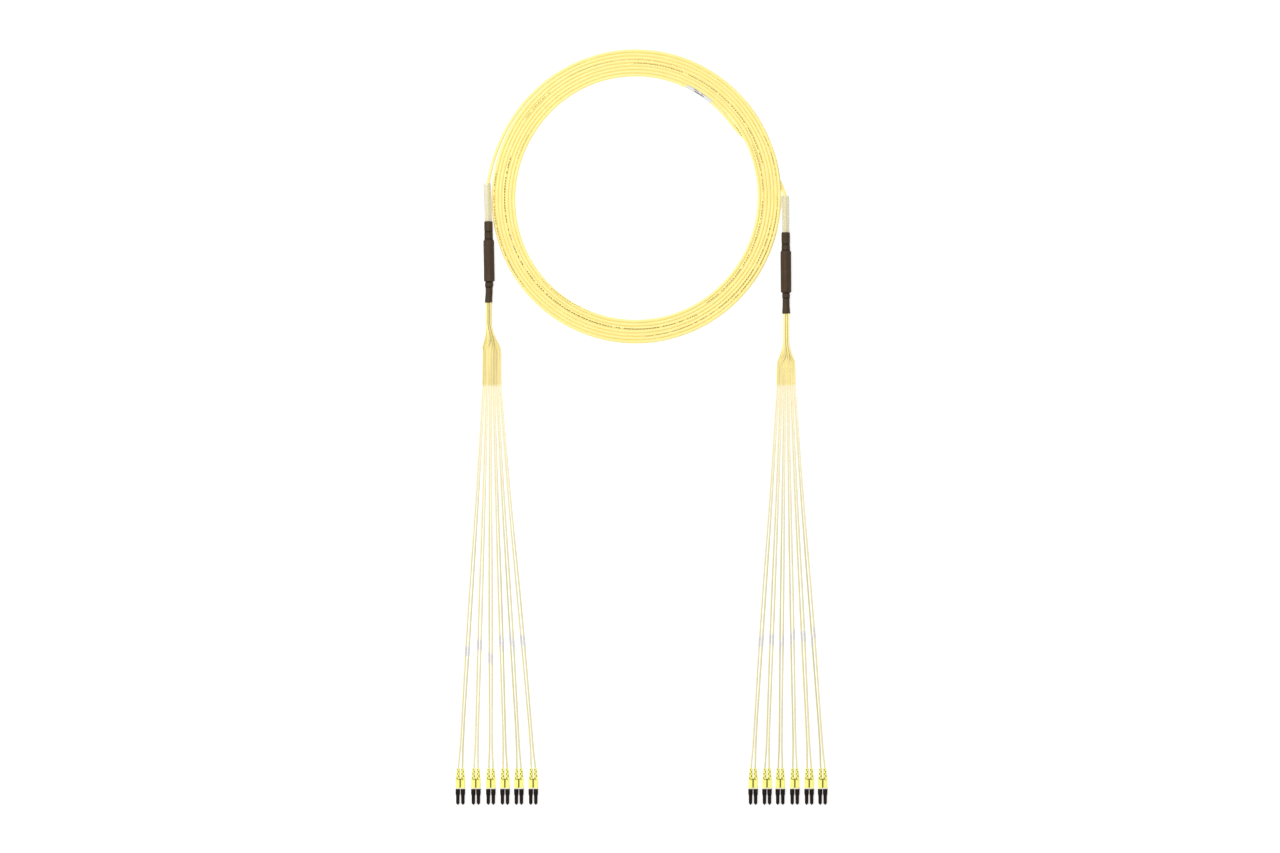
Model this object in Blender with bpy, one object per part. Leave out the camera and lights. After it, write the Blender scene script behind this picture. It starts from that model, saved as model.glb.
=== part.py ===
"""Fibre optic trunk cable: one coiled cable with a twelve-leg breakout at each end.

The cable lies on a level floor at z = 0. +X is to the right and +Y runs from the connectors to
the coil, seen from above. The origin is the middle of the cable's footprint. All in metres.
"""

import math

import bmesh
import bpy
from mathutils import Matrix, Vector

MM = 0.001

# Clearances
TOUCH_GAP = 0.3 * MM
LEG_GAP = 0.1 * MM
FLOOR_GAP = 0.05 * MM

# Trunk cable and its coil
CABLE_OD = 4.2 * MM
COIL_BORE_RADIUS = 147.3 * MM
COIL_CENTRE = Vector((-7.4 * MM, 283.5 * MM, 0.0))
COIL_ROUNDNESS = 0.99
COIL_TURNS = 7
COIL_START_DEG = 45.0
COIL_END_DEG = 129.0
COIL_STEP_DEG = 6.0
SHIFT_START_DEG = 140.0
SHIFT_END_DEG = 230.0
CREST_SHARE = 0.34
VALLEY_DEPTH = 1.1 * MM

# Hump where the turns pass over the cable's inner end
HUMP_FLAT = 18.0 * MM
HUMP_LENGTH = 46.0 * MM
HUMP_EDGE = 1.0 * MM

# Clear sleeve on the cable behind each breakout
SLEEVE_OD = 8.8 * MM
SLEEVE_WALL = 0.9 * MM
SLEEVE_LENGTH = {"left": 46.4 * MM, "right": 44.6 * MM}

# Black heat-shrink breakout, as a thick body between two necks
REAR_NECK_OD = 10.3 * MM
REAR_NECK_LENGTH = 23.0 * MM
BODY_OD = 13.0 * MM
BODY_LENGTH = 50.0 * MM
RIDGE_OD = 11.0 * MM
RIDGE_LENGTH = 6.0 * MM
FRONT_NECK_OD = 9.4 * MM
FRONT_NECK_LENGTH = 27.0 * MM
SHOULDER = 1.6 * MM
BREAKOUT_SIDES = 16
BREAKOUT_AXIS_HEIGHT = BODY_OD / 2
BREAKOUT_BESIDE_COIL = {"left": 1.3 * MM, "right": 5.7 * MM}
BREAKOUT_BELOW_CENTRE = {"left": 81.0 * MM, "right": 94.5 * MM}
BREAKOUT_TILT_DEG = {"left": 0.9, "right": 0.3}
BREAKOUT_DIP_DEG = {"left": 0.0, "right": 0.8}

# Legs: a bundle of three columns of four, spread into one flat row of twelve
LEG_OD = 1.9 * MM
LEG_PITCH = LEG_OD + LEG_GAP
LEG_COLUMNS = 3
LEG_ROWS = 4
LEG_COUNT = LEG_COLUMNS * LEG_ROWS
BUNDLE_LENGTH = {"left": 26.0 * MM, "right": 32.0 * MM}
FAN_LENGTH = {"left": 34.0 * MM, "right": 33.0 * MM}
FAN_STEPS = 6
FAN_SLACK = 0.25
ROW_OFFSET = {"left": 3.7 * MM, "right": 0.2 * MM}

# Clear film wrap that holds each flat row of legs
WRAP_WALL = 0.3 * MM
WRAP_LENGTH = {"left": 39.3 * MM, "right": 20.8 * MM}
WRAP_CORNER = 0.9 * MM
WRAP_INSET = 1.0 * MM

# Free stretch of the legs, from the film wrap to the boots
SPREAD_LENGTH = 472.3 * MM
SPREAD_STATIONS = (0.05, 0.3, 0.6, 0.87, 0.91, 0.95, 0.98)
SPREAD_EASE = 0.1
RISE_START = 0.87
RISE_END = 0.98
PAIR_PINCH = 0.3
PINCH_START = 0.6
PINCH_FULL = 0.87
PINCH_EASE = 0.06

# Duplex connectors
DUPLEX_PITCH = 6.25 * MM
BOOT_LENGTH = 12.7 * MM
BOOT_REAR_OD = 3.5 * MM
BOOT_FRONT_OD = 4.7 * MM
BOOT_RIBS = 4
BOOT_RIB_DEPTH = 0.4 * MM
BOOT_SIDES = 8
CLIP_LENGTH = 12.0 * MM
CLIP_WIDTH = 11.4 * MM
CLIP_HEIGHT = 9.0 * MM
CLIP_CORNER = 0.8 * MM
CLIP_GROOVE_WIDTH = 1.2 * MM
CLIP_GROOVE_DEPTH = 0.8 * MM
HOUSING_LENGTH = 1.2 * MM
HOUSING_WIDTH = 5.2 * MM
HOUSING_HEIGHT = 5.6 * MM
CONNECTOR_AXIS_HEIGHT = 4.2 * MM
FUSE = 0.8 * MM
CONNECTOR_OFFSET = {
    "left": (-38.5 * MM, -19.4 * MM, -1.1 * MM, 16.3 * MM, 33.4 * MM, 51.1 * MM),
    "right": (-40.5 * MM, -23.4 * MM, -7.1 * MM, 10.7 * MM, 28.4 * MM, 45.0 * MM),
}

# Dust caps, a pair on each connector
CAP_LENGTH = 18.8 * MM
CAP_COLLAR_OD = 5.5 * MM
CAP_COLLAR_LENGTH = 7.4 * MM
CAP_BODY_OD = 4.4 * MM
CAP_CHAMFER = 1.1 * MM
CAP_NUB_OD = 1.6 * MM
CAP_NUB_LENGTH = 1.0 * MM
CAP_SIDES = 8
CAP_WEB_LENGTH = 2.0 * MM
CAP_WEB_HEIGHT = 2.0 * MM

# Label carried by the innermost turn
LABEL_START_DEG = 52.0
LABEL_END_DEG = 65.0
LABEL_STEPS = 4
LABEL_WIDTH = 3.8 * MM
LABEL_THICKNESS = 0.4 * MM

# Route of the inner end beneath the turns: angle, distance out from the bore in cable
# diameters, and share of its rise into the sleeve
UNDERPASS = (
    (45.0, 0.43, 0.0),
    (40.0, 0.42, 0.0),
    (35.0, 0.50, 0.0),
    (31.0, 0.84, 0.0),
    (27.0, 1.54, 0.0),
    (23.0, 2.56, 0.0),
    (19.0, 3.70, 0.0),
    (15.0, 4.93, 0.0),
    (10.0, 6.33, 0.0),
    (5.3, 7.93, 0.0),
    (2.6, 8.57, 0.25),
)

# Route of the outer end from the coil to its sleeve, given in the same way
DEPARTURE = (
    (129.0, 7.57, 0.0),
    (138.0, 7.62, 0.0),
    (147.0, 7.74, 0.1),
    (156.0, 7.98, 0.35),
    (165.0, 8.29, 0.75),
    (172.0, 8.55, 0.97),
)
SLEEVE_LEAN = {"left": (0.7 * MM, 0.0), "right": (-0.6 * MM, -0.9 * MM)}


def polar(angle_deg: float, radius: float, height: float) -> Vector:
    """Point at an angle and a distance from the middle of the coil, which lies a little narrow."""
    angle = math.radians(angle_deg)
    return COIL_CENTRE + Vector((radius * COIL_ROUNDNESS * math.cos(angle), radius * math.sin(angle), height))


def out_from_bore(diameters: float) -> float:
    """Distance from the coil's middle, counted in cable diameters from the bore."""
    return COIL_BORE_RADIUS + diameters * CABLE_OD


def smooth_step(value: float) -> float:
    """Ease from 0 to 1 with level ends."""
    value = min(max(value, 0.0), 1.0)
    return value * value * (3.0 - 2.0 * value)


def material(name: str, colour: tuple, roughness: float, metallic: float = 0.0, alpha: float = 1.0):
    """Principled material with a plain colour."""
    made = bpy.data.materials.new(name)
    made.use_nodes = True
    shader = made.node_tree.nodes["Principled BSDF"]
    shader.inputs["Base Color"].default_value = (*colour, 1.0)
    shader.inputs["Roughness"].default_value = roughness
    shader.inputs["Metallic"].default_value = metallic
    shader.inputs["Alpha"].default_value = alpha
    return made


def place(name: str, data, finish, parent=None):
    """Link a mesh or curve to the scene as a named object with its material."""
    made = bpy.data.objects.new(name, data)
    bpy.context.collection.objects.link(made)
    if not data.materials:
        data.materials.append(finish)
    made.parent = parent
    return made


def mesh_from(build: bmesh.types.BMesh, name: str, smooth: bool = True):
    """Finish a bmesh as a mesh with outward faces and smooth round sides."""
    bmesh.ops.recalc_face_normals(build, faces=build.faces)
    mesh = bpy.data.meshes.new(name)
    build.to_mesh(mesh)
    build.free()
    if smooth:
        mesh.shade_smooth()
        mesh.set_sharp_from_angle(angle=math.radians(35.0))
    return mesh


def ring_of_points(build: bmesh.types.BMesh, centre: Vector, radius: float, sides: int) -> list:
    """Add the corners of a regular polygon that stands square to Y."""
    corners = []
    for index in range(sides):
        angle = math.tau * (index + 0.5) / sides
        offset = Vector((radius * math.cos(angle), 0.0, radius * math.sin(angle)))
        corners.append(build.verts.new(centre + offset))
    return corners


def bridge(build: bmesh.types.BMesh, first: list, second: list) -> None:
    """Join two rings of the same length with four-sided faces."""
    count = len(first)
    for index in range(count):
        after = (index + 1) % count
        build.faces.new((first[index], first[after], second[after], second[index]))


def add_turned(build: bmesh.types.BMesh, axis: Vector, profile: list, sides: int) -> None:
    """Add a closed solid turned about a line along Y, from (y, radius) pairs."""
    rings = [ring_of_points(build, axis + Vector((0.0, y, 0.0)), radius, sides) for y, radius in profile]
    for first, second in zip(rings, rings[1:]):
        bridge(build, first, second)
    build.faces.new(rings[0])
    build.faces.new(rings[-1])


def add_extrusion(build: bmesh.types.BMesh, outline: list, y_rear: float, y_front: float) -> None:
    """Add a solid whose (x, z) outline runs along Y."""
    rings = [[build.verts.new((x, y, z)) for x, z in outline] for y in (y_rear, y_front)]
    bridge(build, *rings)
    build.faces.new(rings[0])
    build.faces.new(rings[1])


def smooth_route(route: list, per_span: int) -> list:
    """Points on a smooth curve through the points of a route (Catmull-Rom)."""
    padded = [route[0] * 2 - route[1], *route, route[-1] * 2 - route[-2]]
    points = []
    for before, start, end, after in zip(padded, padded[1:], padded[2:], padded[3:]):
        for step in range(per_span):
            t = step / per_span
            bend = (
                start * 2
                + (end - before) * t
                + (before * 2 - start * 5 + end * 4 - after) * t**2
                + (start * 3 - before - end * 3 + after) * t**3
            )
            points.append(bend * 0.5)
    points.append(route[-1].copy())
    return points


def cord_curve(name: str, points: list, diameter: float):
    """Round cord along a list of points, as a curve with filled ends."""
    curve = bpy.data.curves.new(name, "CURVE")
    curve.dimensions = "3D"
    curve.bevel_depth = diameter / 2
    curve.bevel_resolution = 2
    curve.use_fill_caps = True
    spline = curve.splines.new("POLY")
    spline.points.add(len(points) - 1)
    for slot, point in zip(spline.points, points):
        slot.co = (*point, 1.0)
    return curve


def strand_inner_radius(total_deg: float) -> float:
    """Inner edge of the winding at an angle counted on from the first turn."""
    turn, angle = divmod(total_deg, 360.0)
    shift = smooth_step((angle - SHIFT_START_DEG) / (SHIFT_END_DEG - SHIFT_START_DEG))
    return out_from_bore(turn + shift)


def crossing_angle(radius: float) -> float:
    """Angle at which the inner end passes beneath a turn of this radius."""
    out = (radius - COIL_BORE_RADIUS) / CABLE_OD
    for (first_deg, first, _), (next_deg, following, _) in zip(UNDERPASS, UNDERPASS[1:]):
        if out <= following:
            share = max(out - first, 0.0) / (following - first)
            return first_deg + (next_deg - first_deg) * share
    return UNDERPASS[-1][0]


def hump_height(angle_deg: float, radius: float) -> float:
    """How high the turns stand off the floor to clear the inner end beneath them."""
    away_deg = (angle_deg - crossing_angle(radius) + 180.0) % 360.0 - 180.0
    away = abs(math.radians(away_deg)) * radius
    along = 1.0 - smooth_step((away - HUMP_FLAT) / (HUMP_LENGTH - HUMP_FLAT))
    across = smooth_step((radius - out_from_bore(1) + HUMP_EDGE) / HUMP_EDGE)
    return (CABLE_OD + TOUCH_GAP) * along * across


def coil_mesh():
    """The coil as one wound solid: its turns show as ridges, and its ends as steps."""
    per_turn = round(360.0 / COIL_STEP_DEG)
    segments = COIL_TURNS * per_turn + round((COIL_END_DEG - COIL_START_DEG) / COIL_STEP_DEG)
    build = bmesh.new()

    def corner(index: int, inward: float, height: float):
        angle_deg = COIL_START_DEG + index * COIL_STEP_DEG
        radius = strand_inner_radius(angle_deg) + inward
        return build.verts.new(polar(angle_deg, radius, height + hump_height(angle_deg, radius)))

    valley = [corner(index, 0.0, CABLE_OD - VALLEY_DEPTH) for index in range(segments + per_turn + 1)]
    floor = [corner(index, 0.0, 0.0) for index in range(segments + per_turn + 1)]
    crest_inset = CABLE_OD * (1.0 - CREST_SHARE) / 2
    inner_crest = [corner(index, crest_inset, CABLE_OD) for index in range(segments + 1)]
    outer_crest = [corner(index, CABLE_OD - crest_inset, CABLE_OD) for index in range(segments + 1)]

    for index in range(segments):
        outside = index + per_turn
        strips = (
            (valley, index, inner_crest, index),
            (inner_crest, index, outer_crest, index),
            (outer_crest, index, valley, outside),
            (floor, outside, floor, index),
        )
        for near, near_index, far, far_index in strips:
            build.faces.new((near[near_index], near[near_index + 1], far[far_index + 1], far[far_index]))
    for first in (0, segments):
        for index in range(first, first + per_turn):
            build.faces.new((floor[index], floor[index + 1], valley[index + 1], valley[index]))
    for end in (0, segments):
        outside = end + per_turn
        section = (floor[end], valley[end], inner_crest[end], outer_crest[end], valley[outside], floor[outside])
        build.faces.new(section)
    return mesh_from(build, "trunk_coil")


def label_mesh():
    """Curved label that lies on the innermost turn."""
    middle = out_from_bore(0.5)
    low = CABLE_OD + TOUCH_GAP
    build = bmesh.new()
    sections = []
    for step in range(LABEL_STEPS + 1):
        angle_deg = LABEL_START_DEG + (LABEL_END_DEG - LABEL_START_DEG) * step / LABEL_STEPS
        corners = ((-1, 0), (1, 0), (1, 1), (-1, 1))
        section = []
        for side, level in corners:
            point = polar(angle_deg, middle + side * LABEL_WIDTH / 2, low + level * LABEL_THICKNESS)
            section.append(build.verts.new(point))
        sections.append(section)
    for first, second in zip(sections, sections[1:]):
        bridge(build, first, second)
    build.faces.new(sections[0])
    build.faces.new(sections[-1])
    return mesh_from(build, "cable_label", smooth=False)


def breakout_length() -> float:
    """Whole length of the black heat-shrink."""
    return REAR_NECK_LENGTH + BODY_LENGTH + FRONT_NECK_LENGTH


def breakout_x(side: str) -> float:
    """Place of the breakout's axis, just outside the coil on its side."""
    outward = -1.0 if side == "left" else 1.0
    coil_edge = out_from_bore(COIL_TURNS + 1) * COIL_ROUNDNESS
    return COIL_CENTRE.x + outward * (coil_edge + BREAKOUT_BESIDE_COIL[side])


def breakout_height(side: str) -> float:
    """Height of the breakout's middle when its body lies on the floor."""
    body_rear = breakout_length() / 2 - REAR_NECK_LENGTH
    return BREAKOUT_AXIS_HEIGHT + body_rear * math.sin(math.radians(BREAKOUT_DIP_DEG[side]))


def breakout_matrix(side: str) -> Matrix:
    """Place of the breakout: turned a little from straight, its rear end dipped to the floor."""
    middle = Vector((breakout_x(side), COIL_CENTRE.y - BREAKOUT_BELOW_CENTRE[side], breakout_height(side)))
    tilt = Matrix.Rotation(math.radians(BREAKOUT_TILT_DEG[side]), 4, "Z")
    dip = Matrix.Rotation(-math.radians(BREAKOUT_DIP_DEG[side]), 4, "X")
    return Matrix.Translation(middle) @ tilt @ dip


def breakout_frame(side: str):
    """Empty on the breakout's axis, at its middle, that carries the breakout and its sleeve."""
    empty = bpy.data.objects.new(f"breakout_axis_{side}", None)
    bpy.context.collection.objects.link(empty)
    empty.matrix_world = breakout_matrix(side)
    return empty


def on_axis(side: str, along: float, across: float = 0.0, up: float = 0.0) -> Vector:
    """Point of the breakout's own frame in the world: along its axis, across it and up from it."""
    return breakout_matrix(side) @ Vector((across, along, up))


def breakout_mesh():
    """Heat-shrunk breakout: two necks, a thick body and a low ridge below it."""
    half = breakout_length() / 2
    body_rear = half - REAR_NECK_LENGTH
    body_front = body_rear - BODY_LENGTH
    ridge_front = body_front - RIDGE_LENGTH
    profile = [
        (half, REAR_NECK_OD / 2),
        (body_rear + SHOULDER, REAR_NECK_OD / 2),
        (body_rear, BODY_OD / 2),
        (body_front, BODY_OD / 2),
        (body_front - SHOULDER, RIDGE_OD / 2),
        (ridge_front, RIDGE_OD / 2),
        (ridge_front - SHOULDER, FRONT_NECK_OD / 2),
        (-half, FRONT_NECK_OD / 2),
    ]
    build = bmesh.new()
    add_turned(build, Vector(), profile, BREAKOUT_SIDES)
    return mesh_from(build, "breakout")


def sleeve_mesh(length: float):
    """Clear round sleeve with its bore, standing against the rear neck."""
    start = breakout_length() / 2 + TOUCH_GAP
    build = bmesh.new()
    rings = []
    for radius, y in (
        (SLEEVE_OD / 2, start),
        (SLEEVE_OD / 2, start + length),
        (SLEEVE_OD / 2 - SLEEVE_WALL, start + length),
        (SLEEVE_OD / 2 - SLEEVE_WALL, start),
    ):
        rings.append(ring_of_points(build, Vector((0.0, y, 0.0)), radius, BREAKOUT_SIDES))
    for first, second in zip(rings, rings[1:] + rings[:1]):
        bridge(build, first, second)
    return mesh_from(build, "clear_sleeve")


def tail_end_points(side: str) -> list:
    """Last points of a tail: at the sleeve's mouth, along its bore and at the breakout's rear neck."""
    neck = breakout_length() / 2 + TOUCH_GAP
    mouth = neck + SLEEVE_LENGTH[side]
    across, up = SLEEVE_LEAN[side]
    return [
        on_axis(side, mouth, across, up),
        on_axis(side, mouth - 4 * CABLE_OD, across * 0.4, up * 0.4),
        on_axis(side, neck + 4 * CABLE_OD),
        on_axis(side, neck + TOUCH_GAP),
    ]


def tail_points(side: str, stretch: tuple) -> list:
    """Route of one free end of the trunk, from the end of its turn to the breakout."""
    end = tail_end_points(side)
    low = CABLE_OD / 2 + FLOOR_GAP
    rise = end[0].z - low
    route = [polar(angle_deg, out_from_bore(out), low + rise * share) for angle_deg, out, share in stretch]
    route[0] += (route[1] - route[0]).normalized() * TOUCH_GAP
    return smooth_route(route + end, 2)


def row_height() -> float:
    """Height of the legs' middles where the film wrap holds them flat."""
    return WRAP_WALL + TOUCH_GAP + LEG_OD / 2


def neck_end(side: str) -> Vector:
    """Where the legs come out of the breakout's front neck."""
    return on_axis(side, -breakout_length() / 2 - TOUCH_GAP)


def row_x(side: str, leg: float = (LEG_COUNT - 1) / 2) -> float:
    """Place of a leg in the flat row, or of the row's middle."""
    return breakout_x(side) + ROW_OFFSET[side] + (leg - (LEG_COUNT - 1) / 2) * LEG_PITCH


def row_rear_y(side: str) -> float:
    """Where the legs have come down into their flat row."""
    return neck_end(side).y - BUNDLE_LENGTH[side] - FAN_LENGTH[side]


def row_front_y(side: str) -> float:
    """Where the legs leave the film wrap."""
    return row_rear_y(side) - WRAP_LENGTH[side]


def boot_rear_y() -> float:
    """Line that the boots of both ends are laid along."""
    return row_front_y("left") - SPREAD_LENGTH


def leg_entry(side: str, leg: int) -> Vector:
    """Where a leg goes into its boot."""
    pair, half = divmod(leg, 2)
    x = row_x(side) + CONNECTOR_OFFSET[side][pair] + (half - 0.5) * DUPLEX_PITCH
    return Vector((x, boot_rear_y() + TOUCH_GAP, CONNECTOR_AXIS_HEIGHT))


def bundle_offset(leg: int, turned: float) -> tuple:
    """Place of a leg about the bundle's middle as its column lies down, from 0 upright to 1 flat."""
    column, row = divmod(leg, LEG_ROWS)
    angle = turned * math.pi / 2
    pitch = LEG_PITCH * (1.0 + FAN_SLACK * math.sin(2 * angle))
    spacing = min(pitch / max(math.cos(angle), 1.0 / LEG_ROWS), LEG_ROWS * pitch)
    from_middle = (row - (LEG_ROWS - 1) / 2) * pitch
    across = (column - (LEG_COLUMNS - 1) / 2) * spacing + from_middle * math.sin(angle)
    return across, from_middle * math.cos(angle), (LEG_ROWS - 1) / 2 * pitch * math.cos(angle)


def pinch_at(share: float) -> float:
    """How much closer the legs of a pair lie, at a share of the way to their boots."""
    closing = smooth_step((share - PINCH_START) / (PINCH_FULL - PINCH_START))
    opening = smooth_step((1.0 - share) / PINCH_EASE)
    return PAIR_PINCH * closing * opening


def leg_points(side: str, leg: int) -> list:
    """Route of one leg: bundle, fan, flat row, free spread and rise into its boot."""
    neck = neck_end(side)
    fan_start_y = neck.y - BUNDLE_LENGTH[side]
    points = []
    for share in (0.0, 0.5):
        across, up, half_height = bundle_offset(leg, 0.0)
        settled = row_height() + half_height
        middle_z = neck.z + (settled - neck.z) * smooth_step(share)
        points.append(Vector((neck.x + across, neck.y - BUNDLE_LENGTH[side] * share, middle_z + up)))
    for step in range(FAN_STEPS + 1):
        share = step / FAN_STEPS
        across, up, half_height = bundle_offset(leg, smooth_step(share))
        middle_x = neck.x + (row_x(side) - neck.x) * share
        y = fan_start_y - FAN_LENGTH[side] * share
        points.append(Vector((middle_x + across, y, row_height() + half_height + up)))
    row_end = Vector((row_x(side, leg), row_front_y(side), row_height()))
    points.append(row_end)
    entry = leg_entry(side, leg)
    on_floor = LEG_OD / 2 + FLOOR_GAP
    to_pair_middle = (leg % 2 - 0.5) * DUPLEX_PITCH
    for share in SPREAD_STATIONS:
        across = share - SPREAD_EASE * math.sin(math.tau * share) / math.tau
        rise = smooth_step((share - RISE_START) / (RISE_END - RISE_START))
        x = row_end.x + (entry.x - row_end.x) * across - pinch_at(share) * to_pair_middle
        y = row_end.y + (entry.y - row_end.y) * share
        points.append(Vector((x, y, on_floor + (entry.z - on_floor) * rise)))
    points.append(entry)
    return points


def wrap_mesh(side: str):
    """Clear film wrapped flat round the row of legs."""
    inner_half = ((LEG_COUNT - 1) * LEG_PITCH + LEG_OD) / 2 + TOUCH_GAP
    inner_low = WRAP_WALL
    inner_high = WRAP_WALL + LEG_OD + 2 * TOUCH_GAP
    build = bmesh.new()
    rings = []
    for grow, corner in ((WRAP_WALL, WRAP_CORNER), (0.0, WRAP_CORNER - WRAP_WALL)):
        half = inner_half + grow
        low = inner_low - grow
        high = inner_high + grow
        outline = [
            (-half + corner, low), (half - corner, low), (half, low + corner), (half, high - corner),
            (half - corner, high), (-half + corner, high), (-half, high - corner), (-half, low + corner),
        ]
        for y in (row_front_y(side), row_rear_y(side) - WRAP_INSET):
            rings.append([build.verts.new((row_x(side) + x, y, z)) for x, z in outline])
    outer_front, outer_rear, inner_front, inner_rear = rings
    bridge(build, outer_front, outer_rear)
    bridge(build, outer_rear, inner_rear)
    bridge(build, inner_rear, inner_front)
    bridge(build, inner_front, outer_front)
    return mesh_from(build, "leg_wrap", smooth=False)


def boot_profile() -> list:
    """Ribbed boot from its rear end into the clip, as (y, radius) pairs."""
    profile = []
    steps = BOOT_RIBS * 2
    for step in range(steps + 1):
        share = step / steps
        radius = (BOOT_REAR_OD + (BOOT_FRONT_OD - BOOT_REAR_OD) * share) / 2
        if step % 2 and step < steps:
            radius -= BOOT_RIB_DEPTH
        profile.append((-BOOT_LENGTH * share, radius))
    profile[-1] = (-BOOT_LENGTH - FUSE, BOOT_FRONT_OD / 2)
    return profile


def clip_outline() -> list:
    """Section of the duplex clip, with its long groove on top."""
    half = CLIP_WIDTH / 2
    groove = CLIP_GROOVE_WIDTH / 2
    low = -CONNECTOR_AXIS_HEIGHT
    high = low + CLIP_HEIGHT
    return [
        (-half + CLIP_CORNER, low), (half - CLIP_CORNER, low),
        (half, low + CLIP_CORNER), (half, high - CLIP_CORNER),
        (half - CLIP_CORNER, high), (groove, high),
        (groove, high - CLIP_GROOVE_DEPTH), (-groove, high - CLIP_GROOVE_DEPTH),
        (-groove, high), (-half + CLIP_CORNER, high),
        (-half, high - CLIP_CORNER), (-half, low + CLIP_CORNER),
    ]


def box_outline(x: float, width: float, height: float) -> list:
    """Rectangle about a point on the connector's axis height."""
    half = width / 2
    tall = height / 2
    return [(x - half, -tall), (x + half, -tall), (x + half, tall), (x - half, tall)]


def fused_mesh(name: str, builds: list):
    """Join overlapping closed shapes into one solid with Boolean unions."""
    pieces = []
    for number, build in enumerate(builds):
        piece = bpy.data.objects.new(f"{name}_form_{number}", mesh_from(build, name))
        bpy.context.collection.objects.link(piece)
        pieces.append(piece)
    base = pieces[0]
    for piece in pieces[1:]:
        union = base.modifiers.new(piece.name, "BOOLEAN")
        union.operation = "UNION"
        union.solver = "EXACT"
        union.object = piece
    evaluated = base.evaluated_get(bpy.context.evaluated_depsgraph_get())
    mesh = bpy.data.meshes.new_from_object(evaluated)
    for piece in pieces:
        bpy.data.objects.remove(piece)
    mesh.name = name
    return mesh


def connector_mesh():
    """Duplex connector: clip, two ribbed boots behind it and two housings in front."""
    clip_rear = -BOOT_LENGTH
    clip_front = clip_rear - CLIP_LENGTH
    builds = [bmesh.new()]
    add_extrusion(builds[0], clip_outline(), clip_rear, clip_front)
    for side in (-0.5, 0.5):
        x = side * DUPLEX_PITCH
        boot = bmesh.new()
        add_turned(boot, Vector((x, 0.0, 0.0)), boot_profile(), BOOT_SIDES)
        housing = bmesh.new()
        outline = box_outline(x, HOUSING_WIDTH, HOUSING_HEIGHT)
        add_extrusion(housing, outline, clip_front + FUSE, clip_front - HOUSING_LENGTH)
        builds += [boot, housing]
    return fused_mesh("duplex_connector", builds)


def cap_pair_mesh():
    """Two dust caps, side by side, joined by a thin web between their collars."""
    rear = -BOOT_LENGTH - CLIP_LENGTH - HOUSING_LENGTH - TOUCH_GAP
    tip = rear - CAP_LENGTH
    profile = [
        (rear, CAP_COLLAR_OD / 2),
        (rear - CAP_COLLAR_LENGTH, CAP_COLLAR_OD / 2),
        (rear - CAP_COLLAR_LENGTH, CAP_BODY_OD / 2),
        (tip + CAP_NUB_LENGTH + CAP_CHAMFER, CAP_BODY_OD / 2),
        (tip + CAP_NUB_LENGTH, CAP_BODY_OD / 2 - CAP_CHAMFER),
        (tip, CAP_NUB_OD / 2),
    ]
    builds = []
    for side in (-0.5, 0.5):
        build = bmesh.new()
        add_turned(build, Vector((side * DUPLEX_PITCH, 0.0, 0.0)), profile, CAP_SIDES)
        builds.append(build)
    web = bmesh.new()
    web_front = rear - CAP_COLLAR_LENGTH + FUSE
    outline = box_outline(0.0, DUPLEX_PITCH - CAP_COLLAR_OD + 2 * FUSE, CAP_WEB_HEIGHT)
    add_extrusion(web, outline, web_front + CAP_WEB_LENGTH, web_front)
    builds.append(web)
    return fused_mesh("dust_caps", builds)


def build_trunk(finishes: dict) -> None:
    """Coil, its two free ends and the label on it."""
    place("trunk_coil", coil_mesh(), finishes["cable_jacket"])
    for side, stretch in (("left", DEPARTURE), ("right", UNDERPASS)):
        name = f"trunk_tail_{side}"
        place(name, cord_curve(name, tail_points(side, stretch), CABLE_OD), finishes["cable_jacket"])
    place("cable_label", label_mesh(), finishes["label"])


def build_breakout(side: str, finishes: dict) -> None:
    """Sleeve, heat-shrink, legs and film wrap of one end."""
    frame = breakout_frame(side)
    place(f"breakout_{side}", breakout_mesh(), finishes["heat_shrink"], frame)
    place(f"clear_sleeve_{side}", sleeve_mesh(SLEEVE_LENGTH[side]), finishes["clear_plastic"], frame)
    place(f"leg_wrap_{side}", wrap_mesh(side), finishes["clear_plastic"])
    for leg in range(LEG_COUNT):
        name = f"leg_{side}_{leg + 1:02d}"
        place(name, cord_curve(name, leg_points(side, leg), LEG_OD), finishes["leg_jacket"])


def build_connectors(side: str, connector, caps, finishes: dict) -> None:
    """Row of capped duplex connectors at one end."""
    for number, offset in enumerate(CONNECTOR_OFFSET[side], start=1):
        where = Vector((row_x(side) + offset, boot_rear_y(), CONNECTOR_AXIS_HEIGHT))
        place(f"duplex_{side}_{number}", connector, finishes["connector"]).location = where
        place(f"dust_caps_{side}_{number}", caps, finishes["dust_cap"]).location = where


def main() -> None:
    """Clear the scene and build the cable."""
    for old in list(bpy.data.objects):
        bpy.data.objects.remove(old)
    finishes = {
        "cable_jacket": material("cable_jacket", (0.98, 0.85, 0.28), 0.5),
        "leg_jacket": material("leg_jacket", (0.99, 0.93, 0.55), 0.5),
        "heat_shrink": material("heat_shrink", (0.05, 0.04, 0.03), 0.6),
        "clear_plastic": material("clear_plastic", (0.85, 0.87, 0.82), 0.25, alpha=0.4),
        "label": material("label", (0.72, 0.76, 0.80), 0.5),
        "connector": material("connector", (0.95, 0.95, 0.22), 0.4),
        "dust_cap": material("dust_cap", (0.02, 0.02, 0.02), 0.5),
    }
    build_trunk(finishes)
    connector = connector_mesh()
    caps = cap_pair_mesh()
    for side in ("left", "right"):
        build_breakout(side, finishes)
        build_connectors(side, connector, caps, finishes)


main()
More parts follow.
